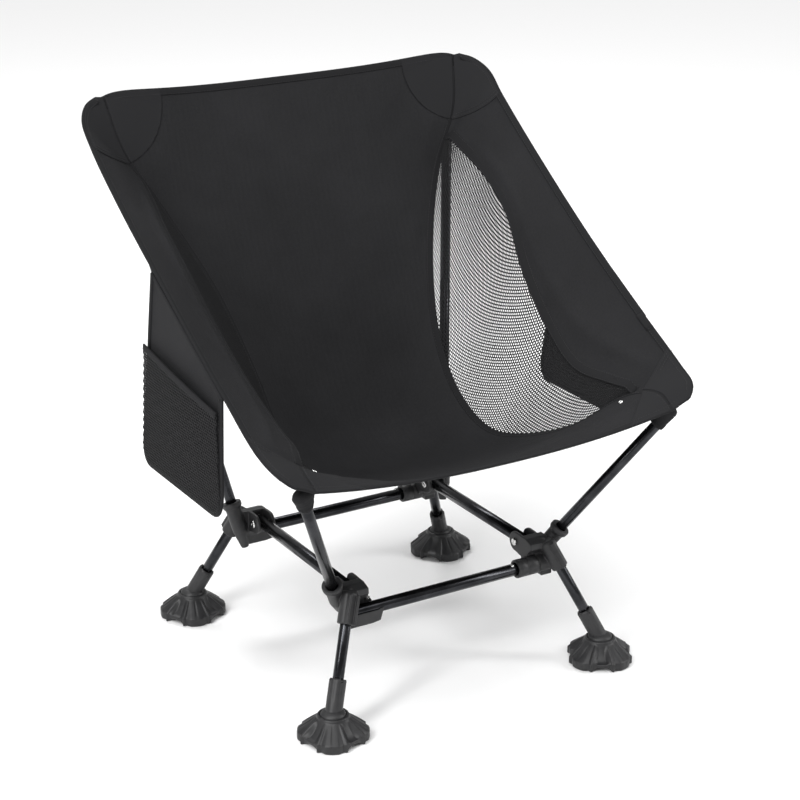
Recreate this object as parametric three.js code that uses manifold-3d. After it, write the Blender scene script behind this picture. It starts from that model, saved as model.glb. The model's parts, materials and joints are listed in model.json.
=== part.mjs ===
// Ultralight backpacking chair: a tube frame with four moulded hubs, four ball-jointed feet and a
// hung fabric seat. Millimetres, +Z up, the sitter faces -Y, origin under the middle of the chair.
import * as THREE from 'three';
import { mergeVertices } from 'three/addons/utils/BufferGeometryUtils.js';
import Module from 'manifold-3d';

const wasm = await Module();
wasm.setup();

// ---------------------------------------------------------------- driving dimensions
const GAP = 0.4; // clearance between touching pieces
const FRAME_Y = -12.2; // from the middle of the four feet to the middle of the whole chair

const POLE_OD = 13; // legs and upper poles
const POLE_WALL = 1;
const BAR_OD = 15; // side rails and cross bars
const BAR_WALL = 1;

const RAIL = { x: 123.8, z: 142.4, halfLength: 111.5 };
const PIVOT_Y = 104; // rivets that carry the rails, from the middle
const BAR = { y: 133.5, z: 121.8, halfLength: 133 };

const FOOT = { x: 186, y: 183.5, radius: 41.5, rim: 10.2, ringTop: 29.7 };
const BALL = { z: 27.5, radius: 15, cup: 15.6 };
const SLEEVE = { radius: 10, top: 47.2, bore: 17 }; // heights from the middle of the ball
const FOOT_TURN = { front_left: 239, front_right: 284, rear_left: 252, rear_right: 262 }; // degrees
const LEG_TOP = { x: 138.3, y: 138.1, z: 142.4 };
const FRONT_POLE = { from: [147.6, -122.6, 142.4], to: [248.2, -230.1, 335.6], cut: 13 };
const REAR_POLE = { from: [150, 121.4, 142.4], to: [238.5, 259.2, 634.4], cut: 13, joint: 255 };

const SOCKET = { depth: 12, mouth: 26, wall: 3.2, flange: 12 };
const COLLAR = { radius: 11.2, low: 93, high: 122.2 };
const CLEVIS = { radius: 12.5, cheek: 3.9, slot: 15.8 };
const RIVET = { shank: 2.4, head: 4.6, inner: 109.6, outer: 138.1 };
const PLUG = { from: 88, core: 6.1, flange: 7.4, thick: 1.5 }; // closes the end of a side rail
const SADDLE = { from: 94, to: 140, half: 9.6, below: 15 }; // open bar seat of the left hubs
const REACH = { front: 141, rear: 149 }; // how far a hub spreads outboard
const CAP = { core: 5.1, inside: 12, rim: 6.5, dome: 4.4 }; // closes the tip of an upper pole
const CORD_R = 1.6;
const POCKET = { inner: 7.3, outer: 8.4, front: 22, rear: 34 }; // sleeves over the pole tips

const CLOTH = 1.2; // woven panels
const NET = 1; // open mesh panels
const TUBE_SIDES = 14;

// ---------------------------------------------------------------- materials
const plastic = new THREE.MeshStandardMaterial({ color: 0x232326, roughness: 0.55 });
const anodised = new THREE.MeshStandardMaterial({ color: 0x2c2d30, roughness: 0.3, metalness: 0.9 });
const steel = new THREE.MeshStandardMaterial({ color: 0xc8c8c6, roughness: 0.25, metalness: 1 });
const cloth = new THREE.MeshStandardMaterial({ color: 0x2a2a2d, roughness: 0.9 });
const net = new THREE.MeshStandardMaterial({ color: 0x1b1b1d, roughness: 0.9 });
const elastic = new THREE.MeshStandardMaterial({ color: 0x3a3a3c, roughness: 0.9 });

const chair = new THREE.Group();
chair.position.y = FRAME_Y;

function add(name, geometry, material) {
  const mesh = new THREE.Mesh(geometry, material);
  mesh.name = name;
  chair.add(mesh);
  return mesh;
}

// ---------------------------------------------------------------- solids
function toSolid(geometry) {
  const bare = geometry.index ? geometry.clone() : mergeVertices(geometry);
  bare.deleteAttribute('normal');
  bare.deleteAttribute('uv');
  const merged = mergeVertices(bare, 1e-4);
  return new wasm.Manifold(new wasm.Mesh({
    numProp: 3,
    vertProperties: new Float32Array(merged.attributes.position.array),
    triVerts: new Uint32Array(merged.index.array),
  }));
}

function toGeometry(solid) {
  const mesh = solid.getMesh();
  const geometry = new THREE.BufferGeometry();
  geometry.setAttribute('position', new THREE.BufferAttribute(mesh.vertProperties, 3));
  geometry.setIndex(new THREE.BufferAttribute(mesh.triVerts, 1));
  geometry.computeVertexNormals();
  return geometry;
}

// Turns a profile of [radius, height] pairs about +Z. The profile climbs on the outside.
function turned(profile, sides = TUBE_SIDES) {
  const points = profile.map(([r, h]) => new THREE.Vector2(r, h));
  return new THREE.LatheGeometry(points, sides).rotateX(Math.PI / 2);
}

function rod(radius, low, high, sides = TUBE_SIDES) {
  return turned([[0, low], [radius, low], [radius, high], [0, high]], sides);
}

function tube(outer, inner, low, high, sides = TUBE_SIDES) {
  return turned([[outer, low], [outer, high], [inner, high], [inner, low], [outer, low]], sides);
}

function box(low, high) {
  const size = high.map((value, i) => value - low[i]);
  const middle = high.map((value, i) => (value + low[i]) / 2);
  return new THREE.BoxGeometry(...size).translate(...middle);
}

// Moves a shape made about +Z so that its axis leaves `from` towards `to`.
function along(geometry, from, to) {
  const direction = new THREE.Vector3(...to).sub(new THREE.Vector3(...from)).normalize();
  const turn = new THREE.Quaternion().setFromUnitVectors(new THREE.Vector3(0, 0, 1), direction);
  return geometry.clone().applyQuaternion(turn).translate(...from);
}

function join(geometries) {
  return geometries.map(toSolid).reduce((sum, solid) => sum.add(solid));
}

function cut(solid, geometries) {
  return geometries.map(toSolid).reduce((rest, tool) => rest.subtract(tool), solid);
}

// Mirrors a geometry in the X and/or Y plane and keeps its faces pointing out.
function mirrored(geometry, sx, sy) {
  const copy = geometry.clone().applyMatrix4(new THREE.Matrix4().makeScale(sx, sy, 1));
  if (sx * sy > 0) return copy;
  const index = copy.index ?? mergeVertices(copy).index;
  const target = copy.index ? copy : mergeVertices(copy);
  for (let i = 0; i < index.count; i += 3) {
    const b = index.getX(i + 1);
    index.setX(i + 1, index.getX(i + 2));
    index.setX(i + 2, b);
  }
  target.setIndex(index);
  return target;
}

const sides = [['left', -1], ['right', 1]];
const ends = [['front', -1], ['rear', 1]];

// ---------------------------------------------------------------- feet, sleeves and legs
const ballAt = [FOOT.x, FOOT.y, BALL.z];
const legTop = [LEG_TOP.x, LEG_TOP.y, LEG_TOP.z];
const legSpan = new THREE.Vector3(...legTop).distanceTo(new THREE.Vector3(...ballAt));

// Radius of the foot's outline at angles from the middle of a lobe: a broad end, a claw, an arch.
const LOBE = [[0, 0], [11, -0.2], [19.5, -3.1], [25.5, -0.9], [28.5, -4.2], [36, -4.9], [45, -5.1]];
const LOBES = 4;
const ARCH = { radius: 9, below: 4 };

// A skirt with four lobes, arched between them, and a round cup on top for the ball of the leg.
function footSolid() {
  const rim = FOOT.radius;
  const skirt = turned([
    [0, 0], [rim - 1, 0], [rim, 1.2], [rim, FOOT.rim - 0.7], [rim - 0.7, FOOT.rim],
    [20.6, 21.4], [18.9, 25], [18.6, 28.6], [17.6, FOOT.ringTop], [0, FOOT.ringTop],
  ], 32);
  const quarter = [...LOBE.slice(1).reverse().map(([a, r]) => [-a, r]), ...LOBE.slice(0, -1)];
  const around = Array.from({ length: LOBES }, (_, lobe) => quarter.map(([degrees, inset]) => {
    const angle = THREE.MathUtils.degToRad(degrees + (lobe * 360) / LOBES);
    return new THREE.Vector2((rim + inset) * Math.cos(angle), (rim + inset) * Math.sin(angle));
  })).flat();
  const outline = new THREE.Shape(around);
  const lobes = new THREE.ExtrudeGeometry(outline, { depth: 40, bevelEnabled: false });
  lobes.translate(0, 0, -1);
  const cup = new THREE.SphereGeometry(BALL.cup, 24, 14).rotateX(Math.PI / 2);
  cup.translate(0, 0, BALL.z);
  const arches = Array.from({ length: LOBES }, (_, i) => {
    const angle = ((i + 0.5) / LOBES) * 2 * Math.PI;
    const from = [0, 0, -ARCH.below];
    return along(rod(ARCH.radius, 31, 50, 20), from, [Math.cos(angle), Math.sin(angle), -ARCH.below]);
  });
  return cut(toSolid(skirt).intersect(toSolid(lobes)), [cup, ...arches]);
}

// The ball and the sleeve above it are one moulding; the leg tube is pushed into its bore.
function sleeveSolid() {
  const ball = new THREE.SphereGeometry(BALL.radius, 20, 12).rotateX(Math.PI / 2);
  const { radius, top } = SLEEVE;
  const body = turned([[0, 2], [radius, 8], [radius, top - 1], [radius - 0.8, top], [0, top]]);
  const bore = rod(POLE_OD / 2 + GAP, SLEEVE.bore, top + 5);
  return cut(join([ball, body]), [bore]);
}

const foot = toGeometry(footSolid());
const sleeve = along(toGeometry(sleeveSolid()), ballAt, legTop);
const legEnd = legSpan + 4.5;
const legTube = tube(POLE_OD / 2, POLE_OD / 2 - POLE_WALL, SLEEVE.bore + GAP, legEnd);
const leg = along(legTube, ballAt, legTop);

for (const [end, sy] of ends) {
  for (const [side, sx] of sides) {
    const turn = THREE.MathUtils.degToRad(FOOT_TURN[`${end}_${side}`]);
    const set = foot.clone().rotateZ(turn).translate(sx * FOOT.x, sy * FOOT.y, 0);
    add(`foot_${end}_${side}`, set, plastic);
    add(`foot_sleeve_${end}_${side}`, mirrored(sleeve, sx, sy), plastic);
    add(`leg_${end}_${side}`, mirrored(leg, sx, sy), anodised);
  }
}

// ---------------------------------------------------------------- hubs
// Built at the right rear corner and mirrored to each corner. `pole` is the upper pole of that end
// and `reach` is how far the block spreads outboard to carry its socket.
function extrudedAlongX(shape, low, high) {
  const solid = new THREE.ExtrudeGeometry(shape, {
    depth: high - low, bevelEnabled: false, curveSegments: 8,
  });
  return solid.applyMatrix4(new THREE.Matrix4().makeBasis(
    new THREE.Vector3(0, 1, 0), new THREE.Vector3(0, 0, 1), new THREE.Vector3(1, 0, 0),
  )).translate(low, 0, 0);
}

function hubSolid(pole, reach, collared) {
  const y = PIVOT_Y;
  const cheekOut = RAIL.x - CLEVIS.slot / 2 - CLEVIS.cheek;
  const cheekIn = RAIL.x + CLEVIS.slot / 2 + CLEVIS.cheek;

  const ear = new THREE.Shape();
  ear.moveTo(y, RAIL.z - CLEVIS.radius);
  ear.absarc(y, RAIL.z, CLEVIS.radius, -Math.PI / 2, Math.PI / 2, true);
  ear.lineTo(y + 20, RAIL.z + 11.5);
  ear.lineTo(y + 20, RAIL.z - 16);

  const core = new THREE.Shape();
  core.moveTo(y + 13, RAIL.z - 16);
  core.lineTo(y + 14, RAIL.z + 12);
  core.lineTo(y + 23, RAIL.z + 11.5);
  core.lineTo(y + 36, RAIL.z + 7);
  core.lineTo(y + 43, RAIL.z - 22);
  core.lineTo(y + 36, RAIL.z - 27);
  core.lineTo(y + 20, RAIL.z - 24);

  const legSocket = along(turned([
    [0, legSpan - 29], [10.3, legSpan - 29], [10.3, legSpan + 6], [8, legSpan + 9], [0, legSpan + 9],
  ]), ballAt, legTop);
  const socketR = POLE_OD / 2 + SOCKET.wall;
  const poleSocket = along(turned([
    [0, -34], [4.5, -34], [socketR - 0.6, -SOCKET.depth], [socketR, SOCKET.mouth - 9],
    [SOCKET.flange, SOCKET.mouth - 6], [SOCKET.flange, SOCKET.mouth], [0, SOCKET.mouth],
  ]), pole.from, pole.to);
  const parts = [
    extrudedAlongX(ear, cheekOut, cheekIn),
    extrudedAlongX(core, cheekOut, reach),
    legSocket,
    poleSocket,
  ];
  const barAxis = [[0, BAR.y, BAR.z], [1, BAR.y, BAR.z]];
  if (collared) {
    parts.push(along(rod(10.8, 122.6, 141), ...barAxis));
  } else {
    const { from, to, half, below } = SADDLE;
    parts.push(box([from, BAR.y - half, BAR.z - below], [to, BAR.y + half, BAR.z + 1.5]));
  }
  const tools = [
    box([RAIL.x - CLEVIS.slot / 2, 80, 100], [RAIL.x + CLEVIS.slot / 2, y + 12.5, 180]),
    along(rod(RIVET.shank + GAP, 90, 160, 12), [0, y, RAIL.z], [1, y, RAIL.z]),
    along(rod(POLE_OD / 2 + GAP, legSpan - 40, legEnd + GAP), ballAt, legTop),
    along(rod(POLE_OD / 2 + GAP, -SOCKET.depth, SOCKET.mouth + 5), pole.from, pole.to),
    along(rod(BAR_OD / 2 + GAP, 80, BAR.halfLength + GAP), ...barAxis),
  ];
  if (collared) {
    tools.push(along(rod(COLLAR.radius + GAP, 80, COLLAR.high + GAP, 16), ...barAxis));
  } else {
    const half = BAR_OD / 2 + GAP;
    tools.push(box([80, BAR.y - half, BAR.z], [BAR.halfLength + GAP, BAR.y + half, BAR.z + 3]));
  }
  return cut(join(parts), tools);
}

const mirrorY = ([x, y, z]) => [x, -y, z];
const FRONT_IN_QUARTER = { from: mirrorY(FRONT_POLE.from), to: mirrorY(FRONT_POLE.to) };
const rivet = along(turned([
  [0, RIVET.inner], [RIVET.head - 0.4, RIVET.inner], [RIVET.head, RIVET.inner + 1.2],
  [RIVET.shank, RIVET.inner + 2], [RIVET.shank, RIVET.outer - 2],
  [RIVET.head, RIVET.outer - 1.2], [RIVET.head - 0.4, RIVET.outer], [0, RIVET.outer],
], 12), [0, PIVOT_Y, RAIL.z], [1, PIVOT_Y, RAIL.z]);
const collar = along(
  tube(COLLAR.radius, BAR_OD / 2 + GAP, COLLAR.low, COLLAR.high, 16),
  [0, BAR.y, BAR.z],
  [1, BAR.y, BAR.z],
);
const bar = along(
  tube(BAR_OD / 2, BAR_OD / 2 - BAR_WALL, -BAR.halfLength, BAR.halfLength),
  [0, BAR.y, BAR.z],
  [1, BAR.y, BAR.z],
);

for (const [end, sy] of ends) {
  const pole = sy < 0 ? FRONT_IN_QUARTER : REAR_POLE;
  const reach = REACH[end];
  for (const [side, sx] of sides) {
    const hub = toGeometry(hubSolid(pole, reach, sx > 0));
    add(`hub_${end}_${side}`, mirrored(hub, sx, sy), plastic);
    add(`rivet_${end}_${side}`, mirrored(rivet, sx, sy), steel);
  }
  add(`bar_collar_${end}`, mirrored(collar, 1, sy), plastic);
  add(`cross_bar_${end}`, mirrored(bar, 1, sy), anodised);
}

// ---------------------------------------------------------------- side rails
const railAxis = [[RAIL.x, 0, RAIL.z], [RAIL.x, 1, RAIL.z]];
const rivetHoles = [-PIVOT_Y, PIVOT_Y].map(
  (y) => along(rod(RIVET.shank + GAP, 90, 160, 12), [0, y, RAIL.z], [1, y, RAIL.z]),
);
const railTube = tube(BAR_OD / 2, BAR_OD / 2 - BAR_WALL, -RAIL.halfLength, RAIL.halfLength);
const rail = toGeometry(cut(toSolid(along(railTube, ...railAxis)), rivetHoles));
const plugFace = RAIL.halfLength + 0.3;
const plugProfile = turned([
  [0, PLUG.from], [PLUG.core, PLUG.from], [PLUG.core, plugFace], [PLUG.flange, plugFace],
  [PLUG.flange - 0.4, plugFace + PLUG.thick], [0, plugFace + PLUG.thick],
]);
const plug = toGeometry(cut(toSolid(along(plugProfile, ...railAxis)), rivetHoles));

for (const [side, sx] of sides) {
  add(`side_rail_${side}`, mirrored(rail, sx, 1), anodised);
  for (const [end, sy] of ends) {
    add(`rail_plug_${end}_${side}`, mirrored(plug, sx, sy), plastic);
  }
}

// ---------------------------------------------------------------- upper poles
function length({ from, to }) {
  return new THREE.Vector3(...from).distanceTo(new THREE.Vector3(...to));
}

const poleStart = -SOCKET.depth + GAP;
const frontEnd = length(FRONT_POLE) - FRONT_POLE.cut;
const rearEnd = length(REAR_POLE) - REAR_POLE.cut;

function onPole(pole, geometry) {
  return along(geometry, pole.from, pole.to);
}

function poleTube(pole, low, high) {
  return onPole(pole, tube(POLE_OD / 2, POLE_OD / 2 - POLE_WALL, low, high));
}

function tipCap(pole, end) {
  return along(turned([
    [0, end - CAP.inside], [CAP.core, end - CAP.inside], [CAP.core, end + 0.3],
    [CAP.rim, end + 0.3], [CAP.rim - 0.2, end + 2.5], [CAP.core - 0.6, end + 4],
    [0, end + CAP.dome],
  ], 12), pole.from, pole.to);
}

for (const [side, sx] of sides) {
  const front = poleTube(FRONT_POLE, poleStart, frontEnd);
  add(`front_pole_${side}`, mirrored(front, sx, 1), anodised);
  add(`front_pole_cap_${side}`, mirrored(tipCap(FRONT_POLE, frontEnd), sx, 1), plastic);
  const frontCord = rod(CORD_R, poleStart, frontEnd - CAP.inside - 0.5, 8);
  add(`front_shock_cord_${side}`, mirrored(onPole(FRONT_POLE, frontCord), sx, 1), elastic);

  const lower = poleTube(REAR_POLE, poleStart, REAR_POLE.joint - 0.15);
  const upper = poleTube(REAR_POLE, REAR_POLE.joint + 0.15, rearEnd);
  const ferrule = along(
    tube(POLE_OD / 2 - POLE_WALL - 0.3, 4.1, REAR_POLE.joint - 40, REAR_POLE.joint + 40),
    REAR_POLE.from,
    REAR_POLE.to,
  );
  add(`rear_pole_lower_${side}`, mirrored(lower, sx, 1), anodised);
  add(`rear_pole_upper_${side}`, mirrored(upper, sx, 1), anodised);
  add(`rear_pole_ferrule_${side}`, mirrored(ferrule, sx, 1), anodised);
  add(`rear_pole_cap_${side}`, mirrored(tipCap(REAR_POLE, rearEnd), sx, 1), plastic);
  const rearCord = rod(CORD_R, poleStart, rearEnd - CAP.inside - 0.5, 8);
  add(`rear_shock_cord_${side}`, mirrored(onPole(REAR_POLE, rearCord), sx, 1), elastic);
}

// ---------------------------------------------------------------- seat cloth
// The seat is one hung surface. Four lines run along it from front to back: the middle, the seam
// between the middle panel and the mesh, the seam between the mesh and the wing, and the outer edge.
const line = (...points) => new THREE.CatmullRomCurve3(points.map((p) => new THREE.Vector3(...p)));

const middleLine = line(
  [0, -240, 316], [0, -170, 282], [0, -100, 253], [0, -30, 233], [0, 30, 228], [0, 75, 243],
  [0, 112, 288], [0, 150, 362], [0, 200, 474], [0, 238, 575], [0, 264, 657],
);
const panelSeam = line(
  [236, -243, 331], [236, -215, 345], [221, -180, 338], [172, -135, 292], [142, -80, 267],
  [129, -20, 256], [127, 50, 281], [130, 105, 343], [152, 158, 432], [193, 210, 524],
  [232, 233, 597], [245, 256, 661.5],
);
const wingSeam = line(
  [226, -186, 346], [211, -146, 347], [202, -95, 350], [206, -25, 387], [214, 35, 435],
  [225, 90, 494], [226, 140, 529], [219, 200, 560], [217, 229, 571],
);
const outerEdge = line(
  [257, -243, 340], [273, -228, 354], [279, -195, 368], [280, -120, 409], [281, 0, 480],
  [284, 120, 557], [284.5, 200, 615], [282.5, 228, 641], [270, 246, 655], [252, 257, 661],
);
const SEAM = 0.9; // from a seam line to the cut edge of the panel beside it
const NET_FROM = -180;
const NET_TO = 224;
const CROWN = { height: 9, from: 225, to: 264 }; // the top edge humps beside each rear tip

// The point of a line at a given depth; every line runs steadily towards +Y.
function at(curve, y) {
  let low = 0;
  let high = 1;
  for (let i = 0; i < 30; i += 1) {
    const half = (low + high) / 2;
    if (curve.getPoint(half).y < y) low = half;
    else high = half;
  }
  return curve.getPoint((low + high) / 2);
}

// A closed solid from a grid of points, thickened to both sides along its normals.
function sheet(rows, thickness) {
  const nRows = rows.length;
  const nCols = rows[0].length;
  const normal = (i, j) => {
    const du = rows[i][Math.min(j + 1, nCols - 1)].clone().sub(rows[i][Math.max(j - 1, 0)]);
    const dv = rows[Math.min(i + 1, nRows - 1)][j].clone().sub(rows[Math.max(i - 1, 0)][j]);
    return du.cross(dv).normalize();
  };
  const positions = [];
  for (const sign of [1, -1]) {
    for (let i = 0; i < nRows; i += 1) {
      for (let j = 0; j < nCols; j += 1) {
        const offset = normal(i, j).multiplyScalar((sign * thickness) / 2);
        positions.push(...rows[i][j].clone().add(offset).toArray());
      }
    }
  }
  const id = (layer, i, j) => layer * nRows * nCols + i * nCols + j;
  const faces = [];
  const quad = (a, b, c, d) => faces.push(a, b, c, a, c, d);
  for (let i = 0; i < nRows - 1; i += 1) {
    for (let j = 0; j < nCols - 1; j += 1) {
      quad(id(0, i, j), id(0, i, j + 1), id(0, i + 1, j + 1), id(0, i + 1, j));
      quad(id(1, i, j), id(1, i + 1, j), id(1, i + 1, j + 1), id(1, i, j + 1));
    }
  }
  for (let j = 0; j < nCols - 1; j += 1) {
    quad(id(1, 0, j), id(1, 0, j + 1), id(0, 0, j + 1), id(0, 0, j));
    quad(id(0, nRows - 1, j), id(0, nRows - 1, j + 1), id(1, nRows - 1, j + 1), id(1, nRows - 1, j));
  }
  for (let i = 0; i < nRows - 1; i += 1) {
    quad(id(0, i, 0), id(0, i + 1, 0), id(1, i + 1, 0), id(1, i, 0));
    quad(id(1, i, nCols - 1), id(1, i + 1, nCols - 1), id(0, i + 1, nCols - 1), id(0, i, nCols - 1));
  }
  const geometry = new THREE.BufferGeometry();
  geometry.setAttribute('position', new THREE.Float32BufferAttribute(positions, 3));
  geometry.setIndex(faces);
  geometry.computeVertexNormals();
  return geometry;
}

// Depths of the cross-sections, evenly spread along the middle line.
const ROWS = 15;
const even = Array.from({ length: ROWS }, (_, i) => middleLine.getPointAt(i / (ROWS - 1)).y);
const apart = (y) => Math.abs(y - NET_FROM) > 8 && Math.abs(y - NET_TO) > 8;
const depths = [...even.filter(apart), NET_FROM, NET_TO].sort((a, b) => a - b);
const edgeDepth = (y) => Math.max(-242.5, Math.min(255.5, y));

function middleRow(y) {
  const centre = at(middleLine, y);
  const seam = at(panelSeam, edgeDepth(y));
  const row = [];
  for (let i = -5; i <= 5; i += 1) {
    const u = i / 5;
    const rise = Math.abs(u) ** 2.4;
    const crown = CROWN.height * THREE.MathUtils.smoothstep(y, CROWN.from, CROWN.to);
    row.push(new THREE.Vector3(
      u * (seam.x - SEAM),
      centre.y + (seam.y - centre.y) * u * u,
      centre.z + (seam.z - centre.z) * rise + crown * Math.abs(u) ** 3 * (1 - u ** 12),
    ));
  }
  return row;
}

// A strip from one line to another, bowed a little downwards between them.
function strip(curveIn, curveOut, y, columns, bow) {
  const inner = at(curveIn, edgeDepth(y));
  const outer = at(curveOut, edgeDepth(y));
  const width = inner.distanceTo(outer);
  const row = [];
  for (let i = 0; i <= columns; i += 1) {
    const inset = SEAM / width;
    const u = inset + (1 - 2 * inset) * (i / columns);
    const point = inner.clone().lerp(outer, u);
    point.z -= bow * width * 4 * u * (1 - u);
    row.push(point);
  }
  return row;
}

const netDepths = depths.filter((y) => y >= NET_FROM && y <= NET_TO);
const wingRow = (y) => {
  const inner = y >= NET_FROM && y <= NET_TO ? wingSeam : panelSeam;
  return strip(inner, outerEdge, y, 3, -0.03);
};

add('seat_panel', sheet(depths.map(middleRow), CLOTH), cloth);
const netPanel = sheet(netDepths.map((y) => strip(panelSeam, wingSeam, y, 4, 0.04)), NET);
const wing = sheet(depths.map(wingRow), CLOTH);

// A storage flap hangs below each wing, with a net pocket on its outer face.
const FLAP_X = 281;
const FLAP = { front: -118, rear: 86, bottom: 261 };

function outlined(points) {
  const shape = new THREE.Shape();
  shape.moveTo(...points[0]);
  for (const point of points.slice(1)) {
    if (point.length === 2) shape.lineTo(...point);
    else shape.quadraticCurveTo(...point);
  }
  return shape;
}

const flap = extrudedAlongX(outlined([
  [-121, 406], [FLAP.front + 4, 290], [FLAP.front + 8, FLAP.bottom, -88, FLAP.bottom],
  [72, FLAP.bottom], [94, FLAP.bottom, 92, 286], [50, 504],
]), FLAP_X, FLAP_X + CLOTH);
const POCKET_LEAN = 0.055;
const pocket = extrudedAlongX(outlined([
  [-115, 388], [FLAP.front + 7, 290], [FLAP.front + 10, FLAP.bottom + 3, -88, FLAP.bottom + 3],
  [71, FLAP.bottom + 3], [91, FLAP.bottom + 3, 89, 286], [66, 413],
]), 0, NET);
pocket.applyMatrix4(new THREE.Matrix4().makeShear(0, 0, 0, 0, POCKET_LEAN, 0));
pocket.translate(FLAP_X + CLOTH + 0.6 - POCKET_LEAN * FLAP.bottom, 0, 0);

// Each pole tip pushes into a closed sleeve sewn under the corner of the cloth.
function cornerPocket(pole, end, depth) {
  return along(turned([
    [POCKET.inner, end - depth], [POCKET.outer, end - depth], [POCKET.outer, end + 2],
    [6.6, end + 6.2], [0, end + 6.2], [0, end + 5], [6.2, end + 4.8], [POCKET.inner, end + 2],
    [POCKET.inner, end - depth],
  ], 14), pole.from, pole.to);
}

for (const [side, sx] of sides) {
  add(`mesh_panel_${side}`, mirrored(netPanel, sx, 1), net);
  add(`wing_panel_${side}`, mirrored(wing, sx, 1), cloth);
  add(`storage_flap_${side}`, mirrored(flap, sx, 1), cloth);
  add(`storage_net_${side}`, mirrored(pocket, sx, 1), net);
  const frontPocket = cornerPocket(FRONT_POLE, frontEnd, POCKET.front);
  const rearPocket = cornerPocket(REAR_POLE, rearEnd, POCKET.rear);
  add(`corner_pocket_front_${side}`, mirrored(frontPocket, sx, 1), cloth);
  add(`corner_pocket_rear_${side}`, mirrored(rearPocket, sx, 1), cloth);
}

add('edge_tab', box([281.5, -135, 393], [283.5, -124, 413]), cloth);

export default chair;
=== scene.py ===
"""Ultralight backpacking chair: the visible pieces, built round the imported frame."""

import json
import math

import bmesh
import bpy
import numpy as np
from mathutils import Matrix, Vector


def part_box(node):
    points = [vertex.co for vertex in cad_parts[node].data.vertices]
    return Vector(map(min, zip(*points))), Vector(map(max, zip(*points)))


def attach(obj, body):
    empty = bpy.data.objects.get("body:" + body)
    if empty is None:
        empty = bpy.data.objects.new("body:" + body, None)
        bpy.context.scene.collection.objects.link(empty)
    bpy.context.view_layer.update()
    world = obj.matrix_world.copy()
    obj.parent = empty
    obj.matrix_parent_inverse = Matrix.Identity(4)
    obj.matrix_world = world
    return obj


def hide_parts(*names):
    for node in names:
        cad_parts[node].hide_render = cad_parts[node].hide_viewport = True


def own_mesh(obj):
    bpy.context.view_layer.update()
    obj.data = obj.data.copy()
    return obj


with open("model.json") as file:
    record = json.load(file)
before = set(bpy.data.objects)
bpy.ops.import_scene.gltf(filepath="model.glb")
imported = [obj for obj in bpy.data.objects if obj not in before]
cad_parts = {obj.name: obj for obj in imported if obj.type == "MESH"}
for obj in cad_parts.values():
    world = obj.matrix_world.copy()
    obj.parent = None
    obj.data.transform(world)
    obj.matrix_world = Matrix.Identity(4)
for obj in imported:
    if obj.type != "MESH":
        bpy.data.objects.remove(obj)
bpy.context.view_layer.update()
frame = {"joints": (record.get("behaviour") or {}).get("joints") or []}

# ---------------- measures
# Millimetres, measured from the middle of the feet: x to the right, y to the rear, z up.
# Places of joints and CAD nodes come from the frame. FRAME_Y takes y back to the frame's own.
MM = 0.001
JOINTS = {joint["name"]: joint for joint in frame["joints"]}


def joint_mm(name):
    return np.array(JOINTS[name]["pos_m"]) * 1000


def middle_mm(node):
    low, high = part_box(node)
    return (np.array(low) + np.array(high)) * 500


def extent_mm(node):
    low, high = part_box(node)
    return (np.array(high) - np.array(low)) * 1000


FRAME_Y = (joint_mm("front_fold")[1] + joint_mm("rear_fold")[1]) / 2
PIVOT_Y = joint_mm("rear_fold")[1] - FRAME_Y
RAIL_X = middle_mm("side_rail_right")[0]
RAIL_Z = joint_mm("rear_fold")[2]
RAIL_HALF = extent_mm("side_rail_right")[1] / 2
BAR_Y = middle_mm("cross_bar_rear")[1] - FRAME_Y
BAR_Z = middle_mm("cross_bar_rear")[2]
BAR_HALF = extent_mm("cross_bar_rear")[0] / 2
BALL = joint_mm("foot_tilt_rear_right") - [0, FRAME_Y, 0]
LEG_AXIS = -np.array(JOINTS["leg_pull_rear_right"]["axis"])
LEG_SPAN = 132.43
POLE_R = 6.5
BAR_R = 7.5
WALL = 1.0
# A pole: where it starts, its tip, and how far before the tip its tube ends.
FRONT_POLE = (np.array([147.6, -122.6, 142.4]), np.array([248.2, -230.1, 335.6]), 13)
REAR_POLE = (np.array([150, 121.4, 142.4]), np.array([238.5, 259.2, 634.4]), 13)
REAR_JOINT = 255
SOCKET_DEPTH = 12
SOCKET_MOUTH = 26
POLE_BORE = POLE_R + 0.45
BAR_BORE = BAR_R + 0.4
BALL_R = 15.0
FOOT_R = 41.5

SIDES = (("left", -1), ("right", 1))
ENDS = (("front", -1), ("rear", 1))


# ---------------- materials
def principled(name, **values):
    """A material and its shader, with plain values set on the shader's own sockets."""
    material = bpy.data.materials.new(name)
    material.use_nodes = True
    shader = material.node_tree.nodes["Principled BSDF"]
    for socket, value in values.items():
        shader.inputs[socket.replace("_", " ")].default_value = value
    return material, shader


def node(material, kind, **inputs):
    made = material.node_tree.nodes.new(kind)
    for socket, value in inputs.items():
        made.inputs[socket.replace("_", " ")].default_value = value
    return made


def link(material, source, target):
    material.node_tree.links.new(source, target)


def noise(material, vector, scale, detail):
    made = node(material, "ShaderNodeTexNoise", Scale=scale, Detail=detail, Roughness=0.6)
    link(material, vector, made.inputs["Vector"])
    return made.outputs["Fac"]


def ramp(material, source, low, high, start=0.35, end=0.65):
    """Maps a 0 to 1 signal to colours between low and high."""
    made = node(material, "ShaderNodeValToRGB")
    made.color_ramp.elements[0].position = start
    made.color_ramp.elements[1].position = end
    made.color_ramp.elements[0].color = (*low, 1)
    made.color_ramp.elements[1].color = (*high, 1)
    link(material, source, made.inputs["Fac"])
    return made.outputs["Color"]


def span(material, source, low, high):
    made = node(material, "ShaderNodeMapRange")
    made.inputs["To Min"].default_value = low
    made.inputs["To Max"].default_value = high
    link(material, source, made.inputs["Value"])
    return made.outputs["Result"]


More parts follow.
